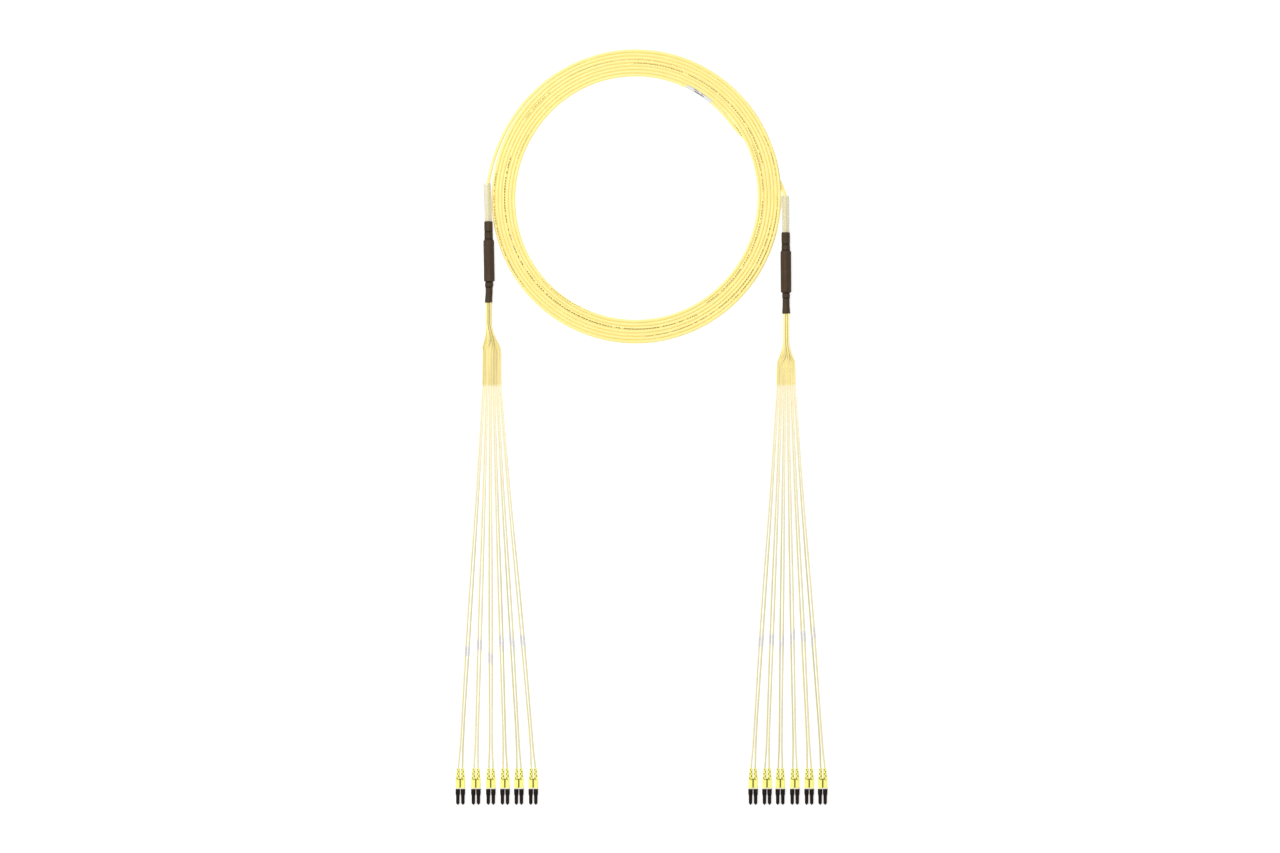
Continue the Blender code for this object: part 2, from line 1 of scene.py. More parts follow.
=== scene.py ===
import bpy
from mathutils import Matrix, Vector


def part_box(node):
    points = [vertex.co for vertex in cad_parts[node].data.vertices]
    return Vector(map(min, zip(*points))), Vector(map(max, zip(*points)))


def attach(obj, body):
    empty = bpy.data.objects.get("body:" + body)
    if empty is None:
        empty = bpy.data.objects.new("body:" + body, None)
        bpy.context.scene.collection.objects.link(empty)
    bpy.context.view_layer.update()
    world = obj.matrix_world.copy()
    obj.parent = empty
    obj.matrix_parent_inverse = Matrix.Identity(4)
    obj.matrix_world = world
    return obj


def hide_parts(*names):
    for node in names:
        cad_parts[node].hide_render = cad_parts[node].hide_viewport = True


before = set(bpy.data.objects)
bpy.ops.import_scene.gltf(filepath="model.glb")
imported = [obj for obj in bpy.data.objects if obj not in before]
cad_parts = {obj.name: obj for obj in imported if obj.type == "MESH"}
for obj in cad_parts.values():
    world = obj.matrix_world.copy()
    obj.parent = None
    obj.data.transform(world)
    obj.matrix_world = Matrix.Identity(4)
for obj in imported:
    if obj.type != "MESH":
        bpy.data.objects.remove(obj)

"""Looks of a coiled fibre optic trunk cable with a twelve-leg breakout at each end.

All in metres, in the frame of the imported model: the cable lies on a level floor at z = 0, +Y runs
from the connectors to the coil, and the camera looks straight down.
"""

import logging
import math
from dataclasses import dataclass, field
from enum import Enum
from typing import Any, Callable, ClassVar, Union

import bmesh
import bpy
from mathutils import Matrix, Vector, noise

MM = 0.001
UP = Vector((0.0, 0.0, 1.0))
WHITE = (1.0, 1.0, 1.0, 1.0)
Colour = tuple[float, float, float]
Feed = Union[float, tuple, bpy.types.NodeSocket]
LOG = logging.getLogger("fibre_trunk_cable")
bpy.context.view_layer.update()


class Side(Enum):
    """The two ends of the cable, as the camera sees them."""

    LEFT = "left"
    RIGHT = "right"


class Slot(Enum):
    """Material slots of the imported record."""

    CABLE = "cable_jacket"
    LEG = "leg_jacket"
    SHRINK = "heat_shrink"
    CLEAR = "clear_plastic"
    LABEL = "label"
    BOOT = "boot"
    CONNECTOR = "connector"
    CAP = "dust_cap"


class Effect(Enum):
    """Shader node groups that several finishes share."""

    MOTTLE = "soft_mottle"
    GRAIN = "moulded_grain"
    MARKS = "ink_marks"


def smooth_step(value: float) -> float:
    """Ease from 0 to 1 with level ends."""
    value = min(max(value, 0.0), 1.0)
    return value * value * (3.0 - 2.0 * value)


def between(first: float, last: float, share: float) -> float:
    """Value at a share of the way from the first to the last."""
    return first + (last - first) * share


def smooth_route(route: list[Vector], spacing: float) -> list[Vector]:
    """Points on a smooth curve (Catmull-Rom) through the points of a route.

    Args:
        route: The points that the curve passes through.
        spacing: The widest gap between two made points.

    Returns:
        The made points, the first and the last of the route among them.
    """
    padded = [route[0] * 2 - route[1], *route, route[-1] * 2 - route[-2]]
    points = []
    for before, start, end, after in zip(padded, padded[1:], padded[2:], padded[3:]):
        steps = max(1, math.ceil((end - start).length / spacing))
        for step in range(steps):
            t = step / steps
            bend = (
                start * 2
                + (end - before) * t
                + (before * 2 - start * 5 + end * 4 - after) * t**2
                + (start * 3 - before - end * 3 + after) * t**3
            )
            points.append(bend * 0.5)
    points.append(route[-1].copy())
    return points


def path_length(path: list[Vector]) -> float:
    """Length of the line through a path's points."""
    return sum((after - before).length for before, after in zip(path, path[1:]))


def mesh_of(name: str, verts: list, faces: list, crease_deg: float = 40.0) -> bpy.types.Mesh:
    """Make a smooth-shaded mesh with sharp edges where it turns by more than crease_deg.

    Args:
        name: The mesh's name.
        verts: Its points.
        faces: Its faces, by their points' numbers.
        crease_deg: The least turn that shows as a sharp edge.

    Returns:
        The new mesh.
    """
    mesh = bpy.data.meshes.new(name)
    mesh.from_pydata([tuple(vert) for vert in verts], [], faces)
    mesh.shade_smooth()
    mesh.set_sharp_from_angle(angle=math.radians(crease_deg))
    return mesh


def set_values(mesh: bpy.types.Mesh, name: str, values: list[float]) -> None:
    """Store one number on each point of a mesh for its material to read."""
    mesh.attributes.new(name, "FLOAT", "POINT").data.foreach_set("value", values)


def set_run(mesh: bpy.types.Mesh, run: list[float], turns: list[tuple[float, float]]) -> None:
    """Give a mesh of skin_faces its UV map "run": metres along it, and turns round it with 0.5 at the top.

    Args:
        mesh: The mesh.
        run: Distance along it at each ring.
        turns: Place round it of each side's first and last point.
    """
    uvs = []
    for near, far in zip(run, run[1:]):
        for low, high in turns:
            uvs += [near, low, near, high, far, high, far, low]
    uvs += [0.0] * (4 * len(turns))
    mesh.uv_layers.new(name="run").uv.foreach_set("vector", uvs)


def skin_faces(rings: int, sides: int, flipped: bool = False) -> list[tuple[int, ...]]:
    """Faces of a closed skin through rings of points, with one flat face at each end.

    Args:
        rings: Number of rings.
        sides: Number of points in each ring.
        flipped: Whether the points run the other way round.

    Returns:
        The faces, by their points' numbers.
    """
    faces = []
    for near in range(0, (rings - 1) * sides, sides):
        far = near + sides
        for side in range(sides):
            after = (side + 1) % sides
            face = (near + side, near + after, far + after, far + side)
            faces.append((face[1], face[0], face[3], face[2]) if flipped else face)
    last = (rings - 1) * sides
    ends = [tuple(reversed(range(sides))), tuple(range(last, last + sides))]
    return faces + [tuple(reversed(end)) for end in ends] if flipped else faces + ends


def add_object(name: str, data: bpy.types.ID) -> bpy.types.Object:
    """Make an object and put it into the scene."""
    made = bpy.data.objects.new(name, data)
    bpy.context.scene.collection.objects.link(made)
    return made


def per_side(left: Any, right: Any) -> Any:
    """Dataclass field that holds one value for each end of the cable."""
    return field(default_factory=lambda: {Side.LEFT: left, Side.RIGHT: right})


def at_point(x: float, y: float, z: float) -> Any:
    """Dataclass field that holds a point."""
    return field(default_factory=lambda: Vector((x, y, z)))


@dataclass
class Tube:
    """A round tube along a path that lies mostly level, with the UV map "run"."""

    CREASE_DEG: ClassVar[float] = 60.0

    path: list[Vector]
    radius: float
    sides: int = 12

    def directions(self, index: int) -> tuple[Vector, Vector]:
        """Sideways and upward directions square to the path at one of its points.

        Args:
            index: The point's number.

        Returns:
            Both directions, each of length 1.
        """
        before = self.path[max(index - 1, 0)]
        after = self.path[min(index + 1, len(self.path) - 1)]
        along = (after - before).normalized()
        sideways = along.cross(UP).normalized()
        return sideways, sideways.cross(along)

    def around(self, index: int, angle: float, reach: float) -> Vector:
        """Point beside the path's point, at an angle from the top and a distance."""
        sideways, upward = self.directions(index)
        return self.path[index] + (sideways * math.sin(angle) + upward * math.cos(angle)) * reach

    def run(self) -> list[float]:
        """Distance along the tube at each point of its path."""
        distances = [0.0]
        for before, after in zip(self.path, self.path[1:]):
            distances.append(distances[-1] + (after - before).length)
        return distances

    def mesh(self, name: str, ring_values: dict[str, list[float]] | None = None) -> bpy.types.Mesh:
        """Build the tube with closed ends.

        Args:
            name: The mesh's name.
            ring_values: Numbers for the material, one for each point of the path.

        Returns:
            The finished mesh.
        """
        angles = [math.tau * ((side + 0.5) / self.sides - 0.5) for side in range(self.sides)]
        rings = len(self.path)
        verts = [self.around(index, angle, self.radius) for index in range(rings) for angle in angles]
        turns = [((side + 0.5) / self.sides, (side + 1.5) / self.sides) for side in range(self.sides)]
        mesh = mesh_of(name, verts, skin_faces(rings, self.sides), self.CREASE_DEG)
        set_run(mesh, self.run(), turns)
        for key, values in (ring_values or {}).items():
            set_values(mesh, key, [value for value in values for _ in range(self.sides)])
        return mesh


@dataclass
class Turned:
    """A closed solid turned about its own Y axis.

    Its relief gives, for a place along the axis and an angle from the top, how far the surface
    lies in from the turned shape, and how much painted shade it takes there.
    """

    stations: list[tuple[float, float]]
    sides: int
    relief: Callable[[float, float], tuple[float, float]]

    def mesh(self, name: str) -> bpy.types.Mesh:
        """Build the solid with a flat face at each end.

        Args:
            name: The mesh's name.

        Returns:
            The finished mesh.
        """
        sections, shades = [], []
        for y, radius in self.stations:
            outline, shade = [], []
            for side in range(self.sides):
                angle = math.tau * side / self.sides
                inward, painted_shade = self.relief(y, angle)
                reach = max(radius - inward, 0.0)
                outline.append((reach * math.sin(angle), reach * math.cos(angle)))
                shade.append(painted_shade)
            sections.append((y, outline))
            shades.append(shade)
        return Loft(sections, shades).mesh(name)


@dataclass
class Loft:
    """A closed solid through sections that all have the same number of (x, z) points."""

    sections: list[tuple[float, list[tuple[float, float]]]]
    painted_shades: list[list[float]] = field(default_factory=list)

    def mesh(self, name: str) -> bpy.types.Mesh:
        """Build the solid; its sections run towards -Y and turn counter-clockwise seen from +Y.

        Args:
            name: The mesh's name.

        Returns:
            The finished mesh.
        """
        verts = [(x, y, z) for y, outline in self.sections for x, z in outline]
        faces = skin_faces(len(self.sections), len(self.sections[0][1]), flipped=True)
        mesh = mesh_of(name, verts, faces)
        # Painted shade: one share for each point, read by the material.
        if self.painted_shades:
            set_values(mesh, "painted_shade", [value for row in self.painted_shades for value in row])
        return mesh


class Graph:
    """The nodes of one material or node group, with short ways to add and join them."""

    STEP = 190.0
    COLUMNS = 14
    ROWS = 3

    def __init__(self, tree: bpy.types.NodeTree) -> None:
        """Keep the tree that the nodes are added to."""
        self.tree = tree
        self.column = 0

    def feed(self, socket: bpy.types.NodeSocket, value: Feed) -> None:
        """Join a socket to another one's output, or set its plain value."""
        if isinstance(value, bpy.types.NodeSocket):
            self.tree.links.new(value, socket)
        else:
            socket.default_value = value

    def add(self, kind: str, feeds: dict | None = None, **settings: Any) -> bpy.types.Node:
        """Add one node.

        Args:
            kind: The node's type name.
            feeds: What goes into its inputs, by their name or number.
            settings: The node's own options.

        Returns:
            The new node.
        """
        node = self.tree.nodes.new(kind)
        self.column += 1
        node.location = (-self.STEP * (self.COLUMNS - self.column), -self.STEP * (self.column % self.ROWS))
        for name, value in settings.items():
            setattr(node, name, value)
        for key, value in (feeds or {}).items():
            self.feed(node.inputs[key], value)
        return node

    def math(self, operation: str, first: Feed, second: Feed = 0.0) -> bpy.types.NodeSocket:
        """Result of one Math node."""
        return self.add("ShaderNodeMath", {0: first, 1: second}, operation=operation).outputs[0]

    def times(self, first: Feed, second: Feed) -> bpy.types.NodeSocket:
        """Two values multiplied."""
        return self.math("MULTIPLY", first, second)

    def along_and_turn(self) -> tuple[bpy.types.NodeSocket, bpy.types.NodeSocket]:
        """Metres along a tube, and turns round it counted from its top."""
        run = self.add("ShaderNodeUVMap", uv_map="run").outputs["UV"]
        split = self.add("ShaderNodeSeparateXYZ", {0: run}).outputs
        return split[0], self.math("SUBTRACT", split[1], 0.5)

    def mix(self, share: Feed, first: Feed, second: Feed) -> bpy.types.NodeSocket:
        """Colour mixed from two, by a share."""
        first, second = (self.rgba(value) for value in (first, second))
        return self.add("ShaderNodeMix", {0: share, 6: first, 7: second}, data_type="RGBA").outputs[2]

    def ramp(
        self, value: Feed, low: float, high: float, start: float = 0.0, end: float = 1.0
    ) -> bpy.types.NodeSocket:
        """Value eased from start to end as it goes from low to high."""
        feeds = {0: value, 1: low, 2: high, 3: start, 4: end}
        return self.add("ShaderNodeMapRange", feeds, interpolation_type="SMOOTHSTEP").outputs[0]

    def noise(self, scale: Feed, detail: float, vector: Feed) -> bpy.types.NodeSocket:
        """Value of a noise texture."""
        feeds = {"Scale": scale, "Detail": detail, "Vector": vector}
        return self.add("ShaderNodeTexNoise", feeds).outputs[0]

    def attribute(self, name: str) -> bpy.types.NodeSocket:
        """Number stored on the mesh under a name."""
        return self.add("ShaderNodeAttribute", attribute_name=name).outputs["Fac"]

    @staticmethod
    def rgba(value: Feed) -> Feed:
        """Give a plain colour its fourth number."""
        if isinstance(value, tuple) and len(value) == 3:
            return (*value, 1.0)
        return value


class EffectLibrary:
    """Builds each shared node group once and places it where a finish asks for it."""

    PATCH_RANGE = (0.32, 0.68)
    GLOSS_RANGE = (0.3, 0.7)
    BROAD_SCALE = 0.12
    FINE_SHARE = 0.35
    BROAD_SHARE = 0.65
    SHORTEST_DASH = 0.55
    DASH_SWING = 0.6
    MISSING_DASHES = 0.14

    def __init__(self) -> None:
        """Start with no group built."""
        self.built: dict[Effect, bpy.types.NodeTree] = {}

    def place(self, graph: Graph, effect: Effect, feeds: dict[str, Feed]) -> bpy.types.Node:
        """Add a shared group to a material.

        Args:
            graph: The material's nodes.
            effect: The group to place.
            feeds: What goes into the group's inputs.

        Returns:
            The group's node.
        """
        if effect not in self.built:
            makers = {Effect.MOTTLE: self.mottle, Effect.GRAIN: self.grain, Effect.MARKS: self.marks}
            self.built[effect] = makers[effect](effect)
        node = graph.add("ShaderNodeGroup", node_tree=self.built[effect])
        for name, value in feeds.items():
            graph.feed(node.inputs[name], value)
        return node

    def dashes(self, graph: Graph, along: Feed, across: Feed, row: "InkRow") -> bpy.types.NodeSocket:
        """Add a row of ink dashes to a material.

        Args:
            graph: The material's nodes.
            along: Metres along the row.
            across: Metres across it, from its own middle line.
            row: The row's sizes.

        Returns:
            The ink's mask, which is empty where the mesh says that no ink lies.
        """
        feeds = {"Along": along, "Across": across, "Pitch": row.pitch, "Width": row.width, "Cover": row.cover}
        return graph.times(self.place(graph, Effect.MARKS, feeds).outputs["Mask"], graph.attribute("ink"))

    @staticmethod
    def start(effect: Effect, inputs: dict[str, float], outputs: list[str]) -> tuple[Graph, dict, dict]:
        """Open a group with its named sockets.

        Args:
            effect: Which group this is.
            inputs: Input names with their usual values.
            outputs: Output names.

        Returns:
            The group's nodes, its input sockets and the sockets that feed its outputs.
        """
        tree = bpy.data.node_groups.new(effect.value, "ShaderNodeTree")
        for name, value in inputs.items():
            socket = tree.interface.new_socket(name=name, in_out="INPUT", socket_type="NodeSocketFloat")
            socket.default_value = value
        for name in outputs:
            tree.interface.new_socket(name=name, in_out="OUTPUT", socket_type="NodeSocketFloat")
        graph = Graph(tree)
        entry = graph.add("NodeGroupInput")
        result = graph.add("NodeGroupOutput")
        return graph, dict(entry.outputs.items()), dict(result.inputs.items())

    def mottle(self, effect: Effect) -> bpy.types.NodeTree:
        """Broad, soft patches.

        Args:
            effect: Which group this is.

        Returns:
            The group's tree.
        """
        graph, given, result = self.start(effect, {"Scale": 60.0}, ["Mask"])
        place = graph.add("ShaderNodeTexCoord").outputs["Object"]
        patches = graph.noise(given["Scale"], 3.0, place)
        graph.feed(result["Mask"], graph.ramp(patches, *self.PATCH_RANGE))
        return graph.tree

    def grain(self, effect: Effect) -> bpy.types.NodeTree:
        """Fine height and gloss variation of moulded or extruded plastic.

        Args:
            effect: Which group this is.

        Returns:
            The group's tree.
        """
        graph, given, result = self.start(effect, {"Scale": 900.0}, ["Height", "Gloss"])
        place = graph.add("ShaderNodeTexCoord").outputs["Object"]
        fine = graph.noise(given["Scale"], 2.0, place)
        broad = graph.noise(graph.times(given["Scale"], self.BROAD_SCALE), 2.0, place)
        height = graph.math("ADD", graph.times(fine, self.FINE_SHARE), graph.times(broad, self.BROAD_SHARE))
        graph.feed(result["Height"], height)
        graph.feed(result["Gloss"], graph.ramp(broad, *self.GLOSS_RANGE))
        return graph.tree

    def marks(self, effect: Effect) -> bpy.types.NodeTree:
        """Row of plain ink dashes of uneven length.

        Args:
            effect: Which group this is.

        Returns:
            The group's tree.
        """
        inputs = {"Along": 0.0, "Across": 0.0, "Pitch": 0.003, "Width": 0.001, "Cover": 0.7}
        graph, given, result = self.start(effect, inputs, ["Mask"])
        cells = graph.math("DIVIDE", given["Along"], given["Pitch"])
        spot = graph.math("FRACT", cells)
        number = graph.math("FLOOR", cells)
        chance = graph.add("ShaderNodeTexWhiteNoise", {"W": number}, noise_dimensions="1D").outputs["Value"]
        uneven = graph.math("ADD", graph.times(chance, self.DASH_SWING), self.SHORTEST_DASH)
        inside = graph.math("LESS_THAN", spot, graph.times(given["Cover"], uneven))
        printed = graph.math("GREATER_THAN", chance, self.MISSING_DASHES)
        half_width = graph.times(given["Width"], 0.5)
        band = graph.math("LESS_THAN", graph.math("ABSOLUTE", given["Across"]), half_width)
        graph.feed(result["Mask"], graph.times(graph.times(inside, printed), band))
        return graph.tree


@dataclass(frozen=True)
class InkRow:
    """One row of plain ink dashes, lying offset to the side of the top."""

    ink: Colour
    pitch: float
    width: float
    cover: float
    offset: float = 0.0


@dataclass(frozen=True)
class Finish:
    """A moulded or extruded plastic; the other finishes add to it."""

    name: str
    slot: Slot
    colour: Colour
    patch: Colour
    roughness: float
    gloss_swing: float = 0.08
    specular: float = 0.5
    mottle_scale: float = 60.0
    mottle_share: float = 0.5
    grain_scale: float = 900.0
    grain_depth: float = 0.04 * MM

    def material(self, effects: EffectLibrary) -> bpy.types.Material:
        """Build the material.

        Args:
            effects: The shared node groups.

        Returns:
            The new material.
        """
        made = bpy.data.materials.new(self.name)
        made.use_nodes = True
        graph = Graph(made.node_tree)
        shader = made.node_tree.nodes["Principled BSDF"]
        shader.inputs["Specular IOR Level"].default_value = self.specular
        grain = effects.place(graph, Effect.GRAIN, {"Scale": self.grain_scale})
        low, high = self.roughness - self.gloss_swing, self.roughness + self.gloss_swing
        graph.feed(shader.inputs["Roughness"], graph.ramp(grain.outputs["Gloss"], 0.0, 1.0, low, high))
        bump = graph.add("ShaderNodeBump", {"Height": grain.outputs["Height"], "Distance": self.grain_depth})
        graph.feed(shader.inputs["Normal"], bump.outputs["Normal"])
        graph.feed(shader.inputs["Base Color"], self.paint(graph, effects))
        self.extras(graph, shader)
        return made

    def paint(self, graph: Graph, effects: EffectLibrary) -> bpy.types.NodeSocket:
        """Base colour: the plastic with soft patches of a second tone."""
        mask = effects.place(graph, Effect.MOTTLE, {"Scale": self.mottle_scale}).outputs["Mask"]
        return graph.mix(graph.times(mask, self.mottle_share), self.colour, self.patch)

    def extras(self, graph: Graph, shader: bpy.types.Node) -> None:
        """Add what only some finishes have."""


@dataclass(frozen=True)
class PrintedJacket(Finish):
    """Cable jacket with a line of ink dashes where its mesh says that the print faces up."""

    row: InkRow = InkRow((0.15, 0.115, 0.01), 3.4 * MM, 1.25 * MM, 0.75)
    cable_radius: float = 2.1 * MM
    # Painted light: a paler colour on the jacket's sides, standing in for light that fills the valleys
    # between turns.
    painted_side_light: Colour = (0.99, 0.875, 0.345)
    painted_light_turns: tuple = (0.08, 0.2)

    def paint(self, graph: Graph, effects: EffectLibrary) -> bpy.types.NodeSocket:
        """Jacket colour, with painted light that makes its sides paler to lift the shade between turns, and
        the ink over it.

        Args:
            graph: The material's nodes.
            effects: The shared node groups.

        Returns:
            The colour's socket.
        """
        along, turn = graph.along_and_turn()
        # Painted light: the jacket is painted paler towards its sides.
        side = graph.ramp(graph.math("ABSOLUTE", turn), *self.painted_light_turns)
        jacket = graph.mix(side, super().paint(graph, effects), self.painted_side_light)
        turned = graph.math("SUBTRACT", graph.times(turn, math.tau), graph.attribute("ink_angle"))
        across = graph.times(turned, self.cable_radius)
        return graph.mix(effects.dashes(graph, along, across, self.row), jacket, self.row.ink)


@dataclass(frozen=True)
class LegJacket(Finish):
    """Leg jacket with painted shade on its sides and a painted shadow where held legs touch: deep yellow
    where the legs are held together, paler elsewhere.
    """

    deep: Colour = (0.94, 0.81, 0.34)
    deep_shade: Colour = (0.70, 0.56, 0.18)
    olive: Colour = (0.64, 0.59, 0.25)
    tan: Colour = (0.80, 0.70, 0.26)
    # Painted shade: edge darkens the sides of a free leg, and the seam tone is a painted contact shadow
    # between held legs.
    edge: Colour = (0.36, 0.33, 0.18)
    painted_seam_shadow: Colour = (0.25, 0.17, 0.02)
    painted_shade_turns: tuple = (0.11, 0.19)

    def paint(self, graph: Graph, effects: EffectLibrary) -> bpy.types.NodeSocket:
        """Pale jacket, mixed with its other tones by the mesh's own shares.

        Args:
            graph: The material's nodes.
            effects: The shared node groups.

        Returns:
            The colour's socket.
        """
        deep = graph.attribute("deep")
        bright = graph.mix(deep, super().paint(graph, effects), self.deep)
        free = graph.mix(graph.attribute("tan"), self.olive, self.tan)
        dull = graph.attribute("dull")
        jacket = graph.mix(dull, bright, graph.mix(deep, free, self.deep_shade))
        # Painted shade on the leg's sides, stronger where the leg is duller.
        side = graph.ramp(graph.math("ABSOLUTE", graph.along_and_turn()[1]), *self.painted_shade_turns)
        shaded = graph.times(side, graph.math("POWER", dull, 0.5))
        return graph.mix(shaded, jacket, graph.mix(deep, self.edge, self.painted_seam_shadow))


@dataclass(frozen=True)
class HollowedPlastic(Finish):
    """Moulded plastic whose slots, grooves and folds take painted shade: a darker tone standing in for the
    shade that falls in them.
    """

    # Painted shade colour for slots, grooves and folds.
    painted_shade: Colour = (0.1, 0.1, 0.02)

    def paint(self, graph: Graph, effects: EffectLibrary) -> bpy.types.NodeSocket:
        """Plastic colour, with the painted shade by the mesh's own share."""
        return graph.mix(graph.attribute("painted_shade"), super().paint(graph, effects), self.painted_shade)


@dataclass(frozen=True)
class ClearPlastic(Finish):
    """See-through plastic that grows denser where it is seen at a slant."""

    facing_alpha: float = 0.32
    edge_alpha: float = 0.85
    blend: float = 0.35

    def extras(self, graph: Graph, shader: bpy.types.Node) -> None:
        """Make it see-through, more so where it faces the eye."""
        facing = graph.add("ShaderNodeLayerWeight", {"Blend": self.blend}).outputs["Facing"]
        graph.feed(shader.inputs["Alpha"], graph.ramp(facing, 0.0, 1.0, self.facing_alpha, self.edge_alpha))


@dataclass(frozen=True)
class MarkedLabel(Finish):
    """Label stock with rows of plain dashes where its mesh says that they lie."""

    rows: tuple[InkRow, ...] = ()
    label_radius: float = 1.2 * MM

    def paint(self, graph: Graph, effects: EffectLibrary) -> bpy.types.NodeSocket:
        """Label colour with its dashes.

        Args:
            graph: The material's nodes.
            effects: The shared node groups.

        Returns:
            The colour's socket.
        """
        painted = super().paint(graph, effects)
        along, turn = graph.along_and_turn()
        around = graph.times(graph.times(turn, math.tau), self.label_radius)
        for row in self.rows:
            across = graph.math("ADD", around, row.offset)
            painted = graph.mix(effects.dashes(graph, along, across, row), painted, row.ink)
        return painted


CABLE_JACKET = PrintedJacket("yellow_cable_jacket", Slot.CABLE, (0.98, 0.80, 0.30), (0.96, 0.745, 0.25), 0.42)
LEG_JACKET = LegJacket("pale_leg_jacket", Slot.LEG, (0.94, 0.855, 0.585), (0.91, 0.81, 0.49), 0.45)
SHRINK = HollowedPlastic(
    "black_heat_shrink", Slot.SHRINK, (0.063, 0.037, 0.020), (0.046, 0.033, 0.016), 0.55, 0.1, 0.16,
    mottle_scale=140.0, mottle_share=0.8, grain_scale=700.0, grain_depth=0.12 * MM,
    painted_shade=(0.009, 0.006, 0.003),
)
CLEAR_SLEEVE = ClearPlastic("clear_sleeve_plastic", Slot.CLEAR, (0.80, 0.78, 0.62), (0.74, 0.73, 0.58), 0.25)
CLEAR_FILM = ClearPlastic(
    "clear_wrap_film", Slot.CLEAR, (0.93, 0.84, 0.52), (0.88, 0.76, 0.42), 0.22,
    facing_alpha=0.08, edge_alpha=0.4,
)
LABEL_STOCK = MarkedLabel(
    "pale_label_stock", Slot.LABEL, (0.70, 0.68, 0.63), (0.62, 0.60, 0.56), 0.4,
    rows=(InkRow((0.42, 0.40, 0.36), 1.6 * MM, 0.5 * MM, 0.7),),
)
CABLE_LABEL = MarkedLabel(
    "cable_label_stock", Slot.LABEL, (0.72, 0.72, 0.72), (0.64, 0.66, 0.66), 0.4,
    rows=(
        InkRow((0.34, 0.27, 0.26), 4.1 * MM, 1.3 * MM, 0.9, 1.0 * MM),
        InkRow((0.025, 0.022, 0.015), 2.4 * MM, 1.3 * MM, 0.9, -1.0 * MM),
    ),
    label_radius=2.25 * MM,
)
BOOT_PLASTIC = HollowedPlastic(
    "yellow_boot_plastic", Slot.BOOT, (0.93, 0.89, 0.25), (0.88, 0.83, 0.19), 0.5, specular=0.15,
    painted_shade=(0.22, 0.19, 0.003),
)
CLIP_PLASTIC = HollowedPlastic(
    "lemon_clip_plastic", Slot.CONNECTOR, (0.96, 0.92, 0.26), (0.92, 0.86, 0.21), 0.4, specular=0.25,
    painted_shade=(0.26, 0.225, 0.001),
)
HOUSING_PLASTIC = Finish(
    "cream_housing_plastic", Slot.CONNECTOR, (0.98, 0.93, 0.88), (0.96, 0.90, 0.83), 0.35,
)
CAP_PLASTIC = HollowedPlastic(
    "black_cap_plastic", Slot.CAP, (0.015, 0.009, 0.006), (0.010, 0.008, 0.007), 0.5, 0.08, 0.10,
    painted_shade=(0.008, 0.005, 0.004),
)


class Dresser:
    """Turns meshes into pieces of the part: placed, finished, riding and standing for their nodes."""

    def __init__(self) -> None:
        """Start with no material made."""
        self.effects = EffectLibrary()
        self.materials: dict[str, bpy.types.Material] = {}
        self.count = 0

    def material(self, finish: Finish) -> bpy.types.Material:
        """The finish's material, built the first time that it is asked for."""
        if finish.name not in self.materials:
            self.materials[finish.name] = finish.material(self.effects)
        return self.materials[finish.name]

    def piece(
        self, name: str, mesh: bpy.types.Mesh, finish: Finish, nodes: tuple = (), place: Matrix | None = None
    ) -> bpy.types.Object:
        """Make one piece.

        Args:
            name: The piece's name.
            mesh: Its mesh, which other pieces may share.
            finish: Its surface finish.
            nodes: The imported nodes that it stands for.
            place: Where it goes, if its mesh isn't already in place.

        Returns:
            The new object.
        """
        made = add_object(name, mesh)
        if place is not None:
            made.matrix_world = place
        if not mesh.materials:
            mesh.materials.append(self.material(finish))
        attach(made, "root")
        if nodes:
            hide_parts(*nodes)
        self.count += 1
        return made


@dataclass
class Studio:
    """White floor, soft daylight-white light and the camera straight above."""

    picture_middle: Vector = at_point(-1.845 * MM, 0.6 * MM, 0.0)
    picture_width: float = 1.574
    camera_height: float = 6.0
    sensor_width_mm: float = 36.0
    floor_size: float = 14.0
    floor_drop: float = 0.02 * MM
    floor_colour: float = 0.5
    floor_glow: float = 0.68
    floor_roughness: float = 0.9
    floor_specular: float = 0.1
    sky_strength: float = 0.63
    key_power: float = 56.0
    key_size: float = 2.2
    key_place: Vector = at_point(-0.9, 0.8, 2.6)

    def build(self) -> None:
        """Make the camera, the floor and the lights."""
        self.camera()
        self.floor()
        self.light()
        bpy.context.scene.view_settings.view_transform = "Standard"

    def camera(self) -> None:
        """Camera that sees the picture's width on the floor."""
        data = bpy.data.cameras.new("overhead_camera")
        data.sensor_width = self.sensor_width_mm
        data.lens = self.sensor_width_mm * self.camera_height / self.picture_width
        made = add_object("overhead_camera", data)
        made.location = self.picture_middle + UP * self.camera_height
        bpy.context.scene.camera = made

    def floor(self) -> None:
        """Plain white floor that lights up a little, as a light table does."""
        half = self.floor_size / 2
        corners = [(-half, -half), (half, -half), (half, half), (-half, half)]
        mesh = mesh_of("floor", [(x, y, -self.floor_drop) for x, y in corners], [(0, 1, 2, 3)])
        paper = bpy.data.materials.new("white_floor")
        paper.use_nodes = True
        shader = paper.node_tree.nodes["Principled BSDF"]
        shader.inputs["Base Color"].default_value = (*(self.floor_colour,) * 3, 1.0)
        shader.inputs["Roughness"].default_value = self.floor_roughness
        shader.inputs["Specular IOR Level"].default_value = self.floor_specular
        shader.inputs["Emission Color"].default_value = WHITE
        shader.inputs["Emission Strength"].default_value = self.floor_glow
        mesh.materials.append(paper)
        add_object("floor", mesh)

    def light(self) -> None:
        """White sky all round and one large soft key light."""
        sky = bpy.data.worlds.new("white_sky")
        sky.use_nodes = True
        back = sky.node_tree.nodes["Background"]
        back.inputs["Color"].default_value = WHITE
        back.inputs["Strength"].default_value = self.sky_strength
        bpy.context.scene.world = sky
        data = bpy.data.lights.new("soft_key", "AREA")
        data.energy = self.key_power
        data.size = self.key_size
        made = add_object("soft_key", data)
        made.location = self.key_place
        made.rotation_euler = (self.key_place - self.picture_middle).to_track_quat("Z", "Y").to_euler()


